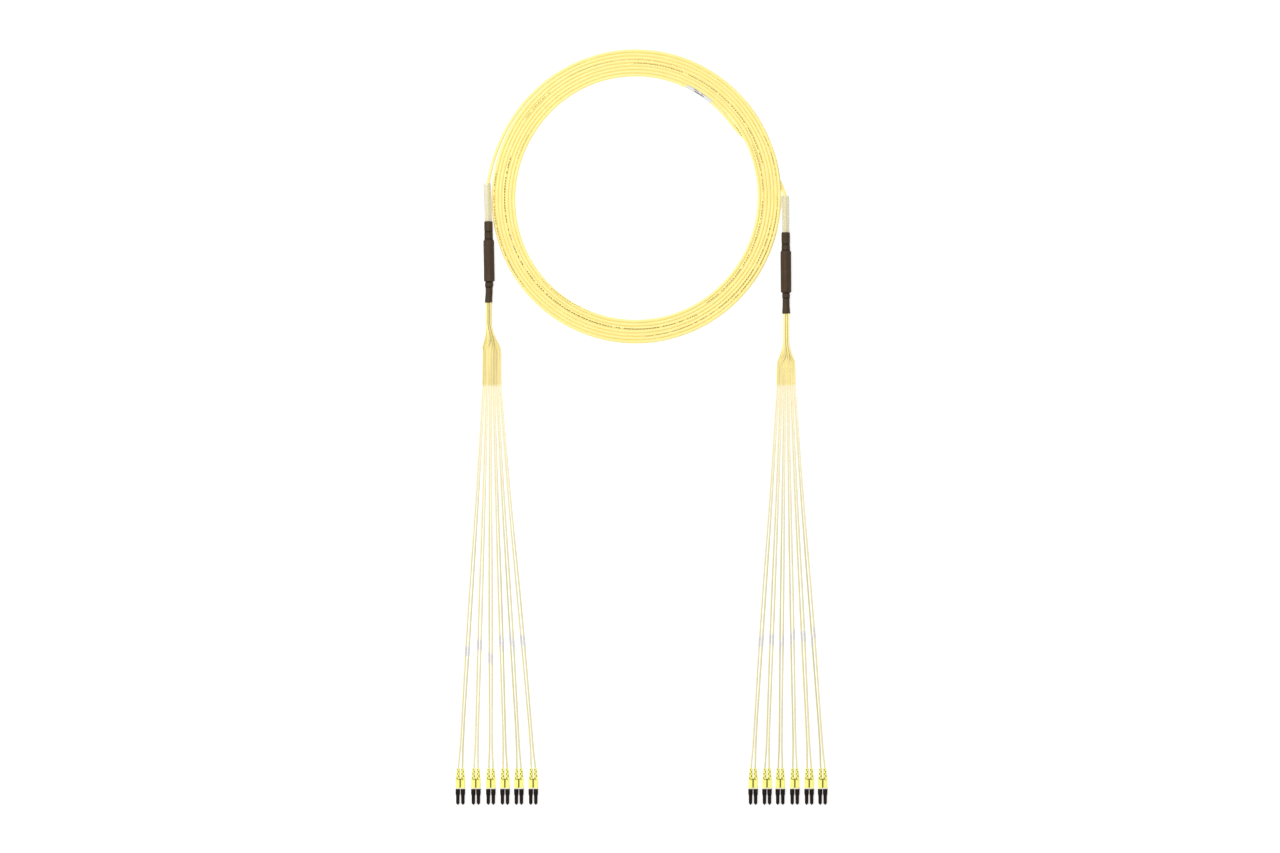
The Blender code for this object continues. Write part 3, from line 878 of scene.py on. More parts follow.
@dataclass(frozen=True)
class PrintArc:
    """Stretch of a turn where the printed line faces up, or where a painted shadow line is drawn the same
    way, measured about the coil's middle.
    """

    start_deg: float
    end_deg: float
    start_radius: float
    end_radius: float
    strength: float

    def radius_at(self, angle_deg: float) -> float | None:
        """Radius of the printed line at an angle, or None outside the stretch."""
        if not self.start_deg <= angle_deg <= self.end_deg:
            return None
        share = (angle_deg - self.start_deg) / (self.end_deg - self.start_deg)
        return between(self.start_radius, self.end_radius, share)


PRINT_AND_SHADOW_ARCS = (
    PrintArc(3.0, 23.0, 156.9 * MM, 156.9 * MM, 0.7),
    # Painted shadow, not print: a dark line where the inner end dives beneath the next turn.
    PrintArc(29.5, 38.0, 150.3 * MM, 150.4 * MM, 1.0),
    PrintArc(3.0, 52.0, 178.4 * MM, 180.3 * MM, 0.6),
    PrintArc(9.0, 25.0, 174.7 * MM, 174.7 * MM, 0.8),
    PrintArc(15.0, 91.0, 161.1 * MM, 163.6 * MM, 0.8),
    PrintArc(72.0, 119.0, 167.3 * MM, 168.5 * MM, 0.4),
    PrintArc(129.0, 145.0, 165.4 * MM, 165.4 * MM, 0.7),
    PrintArc(147.0, 164.0, 151.8 * MM, 151.8 * MM, 0.4),
    PrintArc(162.0, 298.0, 160.6 * MM, 163.8 * MM, 1.0),
    PrintArc(170.0, 219.0, 173.4 * MM, 175.9 * MM, 0.8),
    PrintArc(221.0, 248.0, 153.8 * MM, 151.8 * MM, 0.6),
    PrintArc(274.0, 347.0, 172.6 * MM, 169.7 * MM, 0.8),
    PrintArc(304.0, 360.0, 157.4 * MM, 156.2 * MM, 0.8),
    PrintArc(314.0, 360.0, 174.7 * MM, 174.7 * MM, 0.8),
)


@dataclass
class BreakoutAxis:
    """Line that a breakout and its sleeve are threaded on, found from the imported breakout."""

    side: Side
    length: float = 100.0 * MM
    tilt_deg: dict[Side, float] = per_side(0.9, 0.3)
    dip_deg: dict[Side, float] = per_side(0.0, 0.8)
    bend_mm: dict[Side, tuple] = per_side(
        ((-50.0, -0.8), (-34.0, 0.1), (-20.0, 0.55), (50.0, 0.5), (62.0, 0.1), (100.0, -0.6)),
        ((-50.0, 0.0), (100.0, 0.0)),
    )

    def matrix(self) -> Matrix:
        """Place of the breakout's middle, with +Y towards the trunk."""
        low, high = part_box(f"breakout_{self.side.value}")
        tilt = Matrix.Rotation(math.radians(self.tilt_deg[self.side]), 4, "Z")
        dip = Matrix.Rotation(-math.radians(self.dip_deg[self.side]), 4, "X")
        return Matrix.Translation((low + high) / 2) @ tilt @ dip

    def at(self, along: float, across: float = 0.0, up: float = 0.0) -> Vector:
        """Point in the frame, from its place along, across and up from the axis."""
        return self.matrix() @ Vector((across, along, up))

    def bend_at(self, along: float) -> float:
        """How far the soft pieces lie beside the axis, at a place along it.

        Args:
            along: Place along the axis, from the breakout's middle.

        Returns:
            The distance, towards the right.
        """
        places = self.bend_mm[self.side]
        for (first, offset), (last, next_offset) in zip(places, places[1:]):
            if along <= last * MM:
                share = smooth_step((along / MM - first) / (last - first))
                return between(offset, next_offset, share) * MM
        return places[-1][1] * MM

    def settle(self, mesh: bpy.types.Mesh) -> None:
        """Lay a mesh along the bent axis, and flatten it where it rests on the floor.

        Args:
            mesh: The mesh, which is made about the straight axis.
        """
        place = self.matrix()
        for vert in mesh.vertices:
            spot = place @ Vector((vert.co.x + self.bend_at(vert.co.y), vert.co.y, vert.co.z))
            spot.z = max(spot.z, 0.0)
            vert.co = spot


@dataclass
class TrunkCable:
    """The one long cable: a coil whose inner end passes beneath it, and both ends in their sleeves."""

    od: float = 4.2 * MM
    drawn_share: float = 0.995
    wander: float = 0.12 * MM
    wander_scale: float = 5.0
    bore_radius: float = 147.3 * MM
    centre: Vector = at_point(-7.4 * MM, 283.5 * MM, 0.0)
    roundness: float = 0.99
    turns: int = 7
    start_deg: float = 45.0
    end_deg: float = 129.0
    shift_start_deg: float = 140.0
    shift_end_deg: float = 230.0
    hump_flat: float = 18.0 * MM
    hump_length: float = 46.0 * MM
    hump_edge: float = 1.0 * MM
    touch_gap: float = 0.3 * MM
    floor_gap: float = 0.05 * MM
    sleeve_length: dict[Side, float] = per_side(46.4 * MM, 44.6 * MM)
    sleeve_lean: dict[Side, tuple] = per_side((1.2 * MM, 0.0), (-0.6 * MM, -0.9 * MM))
    sleeve_entry: float = 16.8 * MM
    lean_shares: tuple = (0.9, 0.45)
    sag_share: float = 0.4
    underpass: tuple = (
        (45.0, 0.43, 0.0), (40.0, 0.42, 0.0), (35.0, 0.50, 0.0), (31.0, 0.84, 0.0), (27.0, 1.54, 0.0),
        (23.0, 2.56, 0.0), (19.0, 3.70, 0.0), (15.0, 4.93, 0.0), (10.0, 6.33, 0.0), (5.3, 7.93, 0.0),
        (2.6, 8.57, 0.25),
    )
    departure: tuple = (
        (129.0, 7.57, 0.0), (138.0, 7.62, 0.0), (147.0, 7.70, 0.1), (156.0, 7.88, 0.35),
        (165.0, 8.17, 0.75), (172.0, 8.46, 0.97),
    )
    ring_step_deg: float = 1.5
    lead_deg: float = 8.0
    lead_points: int = 3
    neck_reach: float = 0.3 * MM
    print_limit: float = 0.9
    sides: int = 14

    def polar(self, angle_deg: float, radius: float, height: float) -> Vector:
        """Point at an angle and a distance from the middle of the coil, which lies a little narrow."""
        angle = math.radians(angle_deg)
        across = radius * self.roundness * math.cos(angle)
        return self.centre + Vector((across, radius * math.sin(angle), height))

    def out_from_bore(self, diameters: float) -> float:
        """Distance from the coil's middle, counted in cable diameters from the bore."""
        return self.bore_radius + diameters * self.od

    def low(self) -> float:
        """Height of the cable's middle where it lies on the floor."""
        return self.od / 2 + self.floor_gap

    def crossing_angle(self, radius: float) -> float:
        """Angle at which the inner end passes beneath a turn of this radius.

        Args:
            radius: The turn's radius.

        Returns:
            The angle in degrees.
        """
        out = (radius - self.bore_radius) / self.od
        for (first_deg, first, _), (next_deg, following, _) in zip(self.underpass, self.underpass[1:]):
            if out <= following:
                share = max(out - first, 0.0) / (following - first)
                return between(first_deg, next_deg, share)
        return self.underpass[-1][0]

    def hump_height(self, angle_deg: float, radius: float) -> float:
        """How high a turn stands off the floor to clear the inner end beneath it.

        Args:
            angle_deg: Angle round the coil.
            radius: The turn's radius.

        Returns:
            The extra height.
        """
        away_deg = (angle_deg - self.crossing_angle(radius) + 180.0) % 360.0 - 180.0
        away = abs(math.radians(away_deg)) * radius
        along = 1.0 - smooth_step((away - self.hump_flat) / (self.hump_length - self.hump_flat))
        across = smooth_step((radius - self.out_from_bore(1) + self.hump_edge) / self.hump_edge)
        return (self.od + self.touch_gap) * along * across

    def turn_point(self, total_deg: float) -> Vector:
        """Middle of the cable at an angle counted on from the start of the innermost turn.

        Args:
            total_deg: The angle, with 360 degrees for each turn wound.

        Returns:
            The point in the frame.
        """
        turn, angle_deg = divmod(total_deg, 360.0)
        swing = self.shift_end_deg - self.shift_start_deg
        shift = smooth_step((angle_deg - self.shift_start_deg) / swing)
        radius = self.out_from_bore(turn + shift + 0.5)
        height = self.low() + self.hump_height(angle_deg, radius)
        angle = math.radians(angle_deg)
        spot = Vector((math.cos(angle), math.sin(angle), 0.0)) * self.wander_scale
        stray = noise.noise(spot + UP * turn * self.wander_scale) * self.wander
        return self.polar(angle_deg, radius + stray, height)

    def end_points(self, side: Side) -> list[Vector]:
        """Route in the sleeve, from its mouth to the breakout's rear neck.

        Args:
            side: The end's side.

        Returns:
            The route's points.
        """
        axis = BreakoutAxis(side)
        neck = axis.length / 2 + self.touch_gap
        mouth = neck + self.sleeve_length[side]
        across, up = self.sleeve_lean[side]
        return [
            axis.at(mouth, across, up),
            axis.at(mouth - self.sleeve_entry, across * self.lean_shares[0], up * self.sag_share),
            axis.at(neck + self.sleeve_entry, across * self.lean_shares[1]),
            axis.at(neck + self.neck_reach),
        ]

    def tail(self, side: Side, stretch: tuple, lead: list[Vector]) -> list[Vector]:
        """Route of a free end, from the last of its turn to its neck.

        Args:
            side: The end's side.
            stretch: Angle, diameters out from the bore and share of the rise at each point.
            lead: Points of the turn just before it.

        Returns:
            The route's points.
        """
        end = self.end_points(side)
        rise = end[0].z - self.low()
        route = [
            self.polar(angle_deg, self.out_from_bore(out), self.low() + rise * share)
            for angle_deg, out, share in stretch
        ]
        return smooth_route(lead + route + end, self.od)

    def path(self) -> list[Vector]:
        """Whole route of the cable, from the left neck to the right one.

        Returns:
            The points that it follows.
        """
        last = self.turns * 360.0 + self.end_deg
        leads = [count * self.lead_deg for count in range(self.lead_points, 0, -1)]
        outer_lead = [self.turn_point(last - lead) for lead in leads]
        inner_lead = [self.turn_point(self.start_deg + lead) for lead in leads]
        left = self.tail(Side.LEFT, self.departure, outer_lead)
        right = self.tail(Side.RIGHT, self.underpass, inner_lead)
        wound_deg = last - self.start_deg - 2 * leads[0]
        steps = round(wound_deg / self.ring_step_deg)
        first_deg = last - leads[0]
        wound = [self.turn_point(first_deg - wound_deg * step / steps) for step in range(1, steps)]
        return left[::-1] + wound + right

    def print_at(self, point: Vector) -> tuple[float, float]:
        """Strength of the printed line, or of the painted shadow line, at a point of the path, and its angle
        round the cable.

        Args:
            point: The point of the path.

        Returns:
            The strength, from 0 to 1, and the angle from the top.
        """
        offset = point - self.centre
        angle_deg = math.degrees(math.atan2(offset.y, offset.x)) % 360.0
        radius = math.hypot(offset.x, offset.y)
        for arc in PRINT_AND_SHADOW_ARCS:
            wanted = arc.radius_at(angle_deg)
            if wanted is not None and abs(wanted - radius) < self.od / 2:
                share = (wanted - radius) / (self.od / 2)
                share = min(max(share, -self.print_limit), self.print_limit)
                return arc.strength, -math.asin(share)
        return 0.0, 0.0

    def build(self, dresser: Dresser) -> float:
        """Args:
            dresser: Makes the pieces.

        Returns:
            The cable's length.
        """
        path = self.path()
        # The ink share carries the printed line, and on one arc a painted shadow line.
        marks = [self.print_at(point) for point in path]
        values = {"ink": [mark[0] for mark in marks], "ink_angle": [mark[1] for mark in marks]}
        mesh = Tube(path, self.od / 2 * self.drawn_share, self.sides).mesh("trunk_cable", values)
        nodes = ("trunk_coil", "trunk_tail_left", "trunk_tail_right")
        made = dresser.piece("trunk_cable", mesh, CABLE_JACKET, nodes)
        length = path_length(path)
        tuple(path[0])
        return length


@dataclass
class CableLabel:
    """Label wrapped over the innermost turn of the coil."""

    start_deg: float = 51.0
    end_deg: float = 65.0
    step_deg: float = 0.5
    cover_deg: float = 82.0
    steps_round: int = 16
    inner_radius: float = 2.15 * MM
    thickness: float = 0.15 * MM
    marks_start_share: float = 0.26
    marks_end_share: float = 0.7

    def build(self, cable: TrunkCable, dresser: Dresser) -> None:
        """Make the label as a curved sheet with rounded-over edges.

        Args:
            cable: The cable that it lies on.
            dresser: Makes the pieces.
        """
        count = round((self.end_deg - self.start_deg) / self.step_deg)
        degrees = [between(self.end_deg, self.start_deg, step / count) for step in range(count + 1)]
        tube = Tube([cable.turn_point(degree) for degree in degrees], self.inner_radius)
        rows = 2 * (self.steps_round + 1)
        verts, ink = [], []
        for index in range(count + 1):
            marked = float(self.marks_start_share <= index / count <= self.marks_end_share)
            for row in range(rows):
                outer = row <= self.steps_round
                reach = self.inner_radius + (self.thickness if outer else 0.0)
                verts.append(tube.around(index, math.radians(self.row_deg(row, rows)), reach))
                ink.append(marked if outer else 0.0)
        turns = [0.5 + self.row_deg(row, rows) / 360.0 for row in range(rows + 1)]
        mesh = mesh_of("cable_label_wrap", verts, skin_faces(count + 1, rows))
        set_run(mesh, tube.run(), list(zip(turns, turns[1:])))
        set_values(mesh, "ink", ink)
        dresser.piece("cable_label_wrap", mesh, CABLE_LABEL, ("cable_label",))

    def row_deg(self, row: int, rows: int) -> float:
        """Angle from the top of a row of points, which runs over the outside and back along the inside."""
        turn = row if row <= self.steps_round else rows - 1 - row
        return between(-self.cover_deg, self.cover_deg, turn / self.steps_round)


@dataclass
class Breakout:
    """Black heat-shrunk breakout with the clear sleeve behind it."""

    side: Side
    rear_neck_od: float = 11.0 * MM
    rear_neck_length: float = 23.0 * MM
    body_od: float = 13.7 * MM
    body_length: float = 50.0 * MM
    ridge_rise: dict[Side, float] = per_side(0.9 * MM, 0.45 * MM)
    ridge_length: float = 6.2 * MM
    ridge_fullness: float = 0.6
    front_neck_od: float = 9.3 * MM
    front_flare: dict[Side, float] = per_side(0.3 * MM, 0.6 * MM)
    flare_length: float = 12.0 * MM
    dent_place: dict[Side, float] = per_side(12.9 * MM, 14.8 * MM)
    dent_depth: dict[Side, float] = per_side(0.25 * MM, 0.4 * MM)
    dent_width: float = 1.1 * MM
    fold_width: float = 0.85 * MM
    lump_seed: dict[Side, float] = per_side(3.0, 11.0)
    lump_turn: float = 1.4
    lump_length: float = 16.0 * MM
    lump_depth: float = 0.098 * MM
    ring_turn: float = 0.8
    ring_length: float = 2.6 * MM
    ring_depth: float = 0.049 * MM
    rear_shoulder: float = 2.6 * MM
    front_shoulder: float = 1.7 * MM
    lip: float = 0.5 * MM
    station_step: float = 0.6 * MM
    sides: int = 48
    shrink_allowance: float = 0.1 * MM
    sleeve_od: float = 9.6 * MM
    sleeve_wall: float = 0.9 * MM
    sleeve_bevel: float = 0.2 * MM
    touch_gap: float = 0.3 * MM

    def ridge_span(self, half: float) -> tuple[float, float]:
        """Both ends of the ridge below the thick body."""
        start = half - self.rear_neck_length - self.body_length - self.front_shoulder
        return start, start - self.ridge_length

    def radius_at(self, y: float, half: float) -> float:
        """Radius of the shrunk tube along its axis, with soft shoulders, its ridge and its dent.

        Args:
            y: Place along the axis, from the middle.
            half: Half of the breakout's length.

        Returns:
            The radius there.
        """
        body_rear = half - self.rear_neck_length
        ridge_rear, ridge_front = self.ridge_span(half)
        rear_share = smooth_step((body_rear + self.rear_shoulder / 2 - y) / self.rear_shoulder)
        front_share = smooth_step((ridge_rear + self.front_shoulder - y) / self.front_shoulder)
        diameter = between(self.rear_neck_od, self.body_od, rear_share)
        diameter = between(diameter, self.front_neck_od, front_share)
        along = min(max((ridge_rear - y) / (ridge_rear - ridge_front), 0.0), 1.0)
        ridge = self.ridge_rise[self.side] * math.sin(math.pi * along) ** self.ridge_fullness
        flare = self.front_flare[self.side] * smooth_step((self.flare_length - half - y) / self.flare_length)
        dented = self.close_to(y, half - self.dent_place[self.side], self.dent_width)
        dent = self.dent_depth[self.side] * dented
        return diameter / 2 + ridge + flare - dent

    @staticmethod
    def close_to(y: float, place: float, width: float) -> float:
        """Share that is 1 at a place and falls away on both sides of it."""
        return math.exp(-(((y - place) / width) ** 2))

    def build(self, dresser: Dresser) -> None:
        """Make the heat-shrink and the sleeve.

        Args:
            dresser: Makes the pieces.
        """
        axis = BreakoutAxis(self.side)
        half = axis.length / 2
        side = self.side.value
        for name, mesh, finish, node in (
            (f"heat_shrink_{side}", self.shrink_mesh(half), SHRINK, f"breakout_{side}"),
            (f"clear_tube_{side}", self.sleeve_mesh(half), CLEAR_SLEEVE, f"clear_sleeve_{side}"),
        ):
            axis.settle(mesh)
            dresser.piece(name, mesh, finish, (node,))

    def shrink_mesh(self, half: float) -> bpy.types.Mesh:
        """Heat-shrink with soft lumps along it and rolled lips at its ends.

        Args:
            half: Half of the breakout's length.

        Returns:
            The finished mesh.
        """
        count = round(2 * half / self.station_step)
        stations = []
        for step in range(count + 1):
            y = between(half, -half, step / count)
            from_end = half - abs(y)
            round_off = self.lip * (1.0 - smooth_step(from_end / (2 * self.lip)))
            stations.append((y, self.radius_at(y, half) - self.shrink_allowance - round_off))
        seed = self.lump_seed[self.side]
        body_rear = half - self.rear_neck_length
        dent = half - self.dent_place[self.side]
        folds = (dent, body_rear + self.rear_shoulder / 2, *self.ridge_span(half))

        def relief(y: float, angle: float) -> tuple[float, float]:
            """Soft hollows drawn out along the tube, fine rings across it, and painted shade in its folds.

            Args:
                y: Place along the axis.
                angle: Angle from the top.

            Returns:
                How far the surface lies in there, and its share of the painted shade.
            """
            sine, cosine = math.sin(angle), math.cos(angle)
            spot = Vector((cosine * self.lump_turn, sine * self.lump_turn + seed, y / self.lump_length))
            ring = Vector((cosine * self.ring_turn - seed, sine * self.ring_turn, y / self.ring_length))
            inward = self.lump_depth * (1.0 + noise.noise(spot)) + self.ring_depth * (1.0 + noise.noise(ring))
            return inward, max(self.close_to(y, fold, self.fold_width) for fold in folds)

        return Turned(stations, self.sides, relief).mesh(f"heat_shrink_{self.side.value}")

    def sleeve_mesh(self, half: float) -> bpy.types.Mesh:
        """Clear tube with its wall, cut square at the far end.

        Args:
            half: Half of the breakout's length.

        Returns:
            The finished mesh.
        """
        low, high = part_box(f"clear_sleeve_{self.side.value}")
        near = half + self.touch_gap
        far = near + (high.y - low.y)
        outer = self.sleeve_od / 2
        inner = outer - self.sleeve_wall
        bevel = self.sleeve_bevel
        profile = [
            (near, inner), (near, outer - bevel), (near + bevel, outer), (far - bevel, outer),
            (far, outer - bevel), (far, inner + bevel), (far - bevel, inner), (near, inner),
        ]
        verts = []
        for y, radius in profile:
            for side in range(self.sides):
                angle = math.tau * side / self.sides
                verts.append((radius * math.sin(angle), y, radius * math.cos(angle)))
        ring = (len(profile) - 1) * self.sides
        faces = [tuple(point % ring for point in face) for face in skin_faces(len(profile), self.sides)[:-2]]
        return mesh_of(f"clear_tube_{self.side.value}", verts[:ring], faces)


@dataclass
class DuplexConnector:
    """One capped duplex connector: two ribbed boots, the clip, two housings and two dust caps.

    The cap's profiles are in millimetres: how far to the rear of an edge, and how far in from a radius.
    """

    pitch: float = 6.25 * MM
    axis_height: float = 4.2 * MM
    boot_length: float = 12.7 * MM
    boot_rear_od: float = 3.8 * MM
    boot_front_od: float = 5.1 * MM
    slot_places: tuple = (1.7 * MM, 4.2 * MM, 6.8 * MM, 9.4 * MM, 11.9 * MM)
    slot_width: float = 1.6 * MM
    slot_depth: float = 0.6 * MM
    slot_wall: float = 0.12 * MM
    slot_past_middle: float = 0.1
    slot_ease: float = 0.3
    boot_chamfer: float = 0.25 * MM
    boot_sides: int = 28
    clip_length: float = 11.4 * MM
    clip_width: float = 11.4 * MM
    clip_height: float = 9.0 * MM
    clip_corner: float = 0.9 * MM
    clip_bevel: float = 0.25 * MM
    corner_steps: int = 4
    groove_width: float = 1.8 * MM
    groove_depth: float = 1.9 * MM
    bar_place: float = 0.1 * MM
    bar_width: float = 0.9 * MM
    bar_depth: float = 0.6 * MM
    bar_reach: float = 3.6 * MM
    bar_edge: float = 0.06 * MM
    bar_shade: float = 0.9
    grip_depth: float = 0.25 * MM
    grip_start: float = 3.4 * MM
    grip_pitch: float = 1.7 * MM
    grip_ramp: float = 0.3 * MM
    grip_floor: float = 0.6 * MM
    grip_ribs: int = 4
    housing_length: float = 0.8 * MM
    housing_seat: float = 0.3 * MM
    housing_width: float = 5.7 * MM
    housing_height: float = 7.4 * MM
    housing_corner: float = 0.3 * MM
    housing_bevel: float = 0.2 * MM
    fuse: float = 0.8 * MM
    cap_gap: float = 0.3 * MM
    cap_length: float = 19.8 * MM
    collar_od: float = 5.7 * MM
    collar_length: float = 7.4 * MM
    cap_body_od: float = 4.7 * MM
    cap_chamfer: float = 1.1 * MM
    cap_sides: int = 32
    cap_spacing: float = 0.9 * MM
    collar_rear: tuple = ((0.0, 0.35), (-0.1, 0.12), (-0.35, 0.0))
    collar_front: tuple = ((1.2, 0.06), (0.3, 0.18), (0.0, 0.42))
    body_rear: tuple = ((-0.1, -0.05), (-0.8, 0.0))
    body_front: tuple = ((4.2, 0.03), (0.2, 0.08), (-0.2, 0.25))
    nub_profile: tuple = ((0.9, 0.0), (0.25, 0.1), (0.0, 0.35))
    flute_count: int = 4
    flute_depth: float = 0.22 * MM
    flute_shade: float = 0.6
    flute_margins: tuple = (1.4 * MM, 1.0 * MM)
    nub_od: float = 1.6 * MM
    nub_length: float = 1.0 * MM
    lug_size: tuple = (1.3 * MM, 2.1 * MM, 2.3 * MM)
    lug_place: Vector = at_point(2.35 * MM, -0.1 * MM, 1.9 * MM)
    lug_bevel: float = 0.18 * MM

    def boot_mesh(self) -> bpy.types.Mesh:
        """Tapered boot whose flexing slots open to the left and the right in turn.

        Returns:
            The finished mesh.
        """
        places = [0.0, self.boot_chamfer]
        half = self.slot_width / 2
        for place in self.slot_places:
            start, end = place - half, place + half
            places += [start, start + self.slot_wall, end - self.slot_wall, end]
        places += [self.boot_length, self.boot_length + self.fuse]
        stations = []
        for place in places:
            share = min(place / self.boot_length, 1.0)
            radius = between(self.boot_rear_od, self.boot_front_od, share) / 2
            stations.append((-place, radius if place else radius - self.boot_chamfer))

        def relief(y: float, angle: float) -> tuple[float, float]:
            """Slots across one half of the boot at a time, with painted shade in them.

            Args:
                y: Place along the axis.
                angle: Angle from the top.

            Returns:
                How far the surface lies in there, and its share of the painted shade.
            """
            for number, place in enumerate(self.slot_places):
                if abs(-y - place) < half - self.slot_wall / 2:
                    facing = math.sin(angle) * (1.0 if number % 2 else -1.0)
                    share = smooth_step((facing + self.slot_past_middle) / self.slot_ease)
                    return self.slot_depth * share, share
            return 0.0, 0.0

        return Turned(stations, self.boot_sides, relief).mesh("boot")

    def clip_outline(self, trim: float, bar: float, grip: float) -> list[tuple[float, float]]:
        """Section of the clip with its long groove on top.

        Args:
            trim: How far the whole top lies below its usual height.
            bar: Depth of the short cross groove here.
            grip: How far the sides lie in from their usual width.

        Returns:
            The (x, z) points of the section, from the groove's left edge round to its right one.
        """
        half = self.clip_width / 2 - grip
        low = -self.axis_height
        high = low + self.clip_height - trim
        groove = self.groove_width / 2
        floor = low + self.clip_height - self.groove_depth
        round_off = self.clip_corner
        beside = [
            (groove, floor), (groove, high - bar), (self.bar_reach, high - bar), (self.bar_reach + bar, high),
        ]
        points = [(-x, z) for x, z in beside]
        for number, (right, top) in enumerate(((-1, 1), (-1, -1), (1, -1), (1, 1))):
            middle_x = right * (half - round_off)
            middle_z = (high if top > 0 else low) - top * round_off
            for step in range(self.corner_steps + 1):
                angle = math.pi / 2 * (1 + number + step / self.corner_steps)
                across, up = round_off * math.cos(angle), round_off * math.sin(angle)
                points.append((middle_x + across, middle_z + up))
        return points + beside[::-1]

    def clip_mesh(self) -> bpy.types.Mesh:
        """Duplex clip with a T of grooves on top and grips on its sides.

        Returns:
            The finished mesh.
        """
        bevel, edge, deep, grip = self.clip_bevel, self.bar_edge, self.bar_depth, self.grip_depth
        bar_rear = self.bar_place + bevel
        bar_front = bar_rear + self.bar_width
        stations = [
            (0.0, bevel, 0.0, bevel), (bevel, 0.0, 0.0, 0.0), (bar_rear, 0.0, 0.0, 0.0),
            (bar_rear + edge, 0.0, deep, 0.0), (bar_front, 0.0, deep, 0.0), (bar_front + edge, 0.0, 0.0, 0.0),
        ]
        for rib in range(self.grip_ribs):
            start = self.grip_start + rib * self.grip_pitch
            floor = start + self.grip_ramp
            end = floor + self.grip_floor
            stations += [
                (start, 0.0, 0.0, 0.0), (floor, 0.0, 0.0, grip), (end, 0.0, 0.0, grip),
                (end + self.grip_ramp, 0.0, 0.0, 0.0),
            ]
        stations += [(self.clip_length - bevel, 0.0, 0.0, 0.0), (self.clip_length, bevel, 0.0, bevel)]
        sections, painted_shades = [], []
        for place, trim, bar, pressed in stations:
            outline = self.clip_outline(trim, bar, pressed)
            sections.append((-self.boot_length - place, outline))
            # Painted shade: the groove floor takes it in full, and the cross groove's points take bar_shade.
            shade = [0.0] * len(outline)
            shade[0] = shade[-1] = 1.0
            if bar:
                shade[1] = shade[2] = shade[-2] = shade[-3] = self.bar_shade
            painted_shades.append(shade)
        return Loft(sections, painted_shades).mesh("duplex_clip")

    def housing_mesh(self) -> bpy.types.Mesh:
        """Front of one plug housing, with cut corners and a bevelled front edge.

        Returns:
            The finished mesh.
        """
        half, tall = self.housing_width / 2, self.housing_height / 2
        corner = self.housing_corner

        def outline(inset: float) -> list[tuple[float, float]]:
            """Rectangle with cut corners, a little smaller by the inset.

            Args:
                inset: How far each side lies in.

            Returns:
                The (x, z) points.
            """
            x, z = half - inset, tall - inset
            return [
                (-x + corner, z), (-x, z - corner), (-x, -z + corner), (-x + corner, -z),
                (x - corner, -z), (x, -z + corner), (x, z - corner), (x - corner, z),
            ]

        rear = -self.boot_length - self.clip_length + self.fuse
        front = rear - self.fuse - self.housing_length - self.housing_seat
        bevel = self.housing_bevel
        sections = [(rear, outline(0.0)), (front + bevel, outline(0.0)), (front, outline(bevel))]
        return Loft(sections).mesh("plug_housing")

    def cap_mesh(self, lug: bool) -> bpy.types.Mesh:
        """Dust cap: a rounded collar, a slimmer body with shallow flutes and a blunt nub at its tip.

        Args:
            lug: Whether this cap has the small lug at its collar's outer corner.

        Returns:
            The cap's mesh.
        """
        rear = -self.boot_length - self.clip_length - self.housing_length - self.cap_gap
        collar, body = self.collar_od / 2, self.cap_body_od / 2
        tip = rear - self.cap_length
        step_y = rear - self.collar_length
        chamfer_y = tip + self.nub_length + self.cap_chamfer

        def profile(edge: float, radius: float, pairs: tuple) -> list[tuple[float, float]]:
            """Stations to the rear of an edge and in from a radius."""
            return [(edge + along * MM, radius - inward * MM) for along, inward in pairs]

        stations = [
            *profile(rear, collar, self.collar_rear), *profile(step_y, collar, self.collar_front),
            *profile(step_y, body, self.body_rear), *profile(chamfer_y, body, self.body_front),
            (tip + self.nub_length, body - self.cap_chamfer),
            *profile(tip, self.nub_od / 2, self.nub_profile),
        ]

        def relief(y: float, angle: float) -> tuple[float, float]:
            """Shallow flutes along the slim body, with painted shade in them.

            Args:
                y: Place along the axis.
                angle: Angle from the top.

            Returns:
                How far the surface lies in there, and its share of the painted shade.
            """
            if not chamfer_y + self.flute_margins[1] < y < step_y - self.flute_margins[0]:
                return 0.0, 0.0
            flute = max(math.cos(self.flute_count * angle), 0.0)
            return self.flute_depth * flute, self.flute_shade * flute

        dense = []
        for (y, radius), (next_y, next_radius) in zip(stations, stations[1:]):
            pieces = max(1, round((y - next_y) / self.cap_spacing))
            for step in range(pieces):
                share = step / pieces
                dense.append((between(y, next_y, share), between(radius, next_radius, share)))
        dense.append(stations[-1])
        mesh = Turned(dense, self.cap_sides, relief).mesh("dust_cap_with_lug" if lug else "dust_cap")
        if lug:
            self.add_lug(mesh, rear)
        return mesh

    def meshes(self) -> dict[str, bpy.types.Mesh]:
        """Meshes that all the connectors share, by what they show."""
        return {
            "boot": self.boot_mesh(), "clip": self.clip_mesh(), "housing": self.housing_mesh(),
            "cap_0": self.cap_mesh(lug=False), "cap_1": self.cap_mesh(lug=True),
        }

    def add_lug(self, mesh: bpy.types.Mesh, rear: float) -> None:
        """Add the small bevelled lug that reaches back over the housing's outer corner.

        Args:
            mesh: The cap's mesh.
            rear: Where the cap's rear edge lies.
        """
        size = Matrix.Diagonal((*self.lug_size, 1.0))
        place = Matrix.Translation(self.lug_place + Vector((0.0, rear, 0.0)))
        build = bmesh.new()
        build.from_mesh(mesh)
        block = bmesh.ops.create_cube(build, size=1.0, matrix=place @ size)
        edges = list({edge for vert in block["verts"] for edge in vert.link_edges})
        bmesh.ops.bevel(build, geom=edges, offset=self.lug_bevel, segments=2, profile=0.5, affect="EDGES")
        build.to_mesh(mesh)
        build.free()


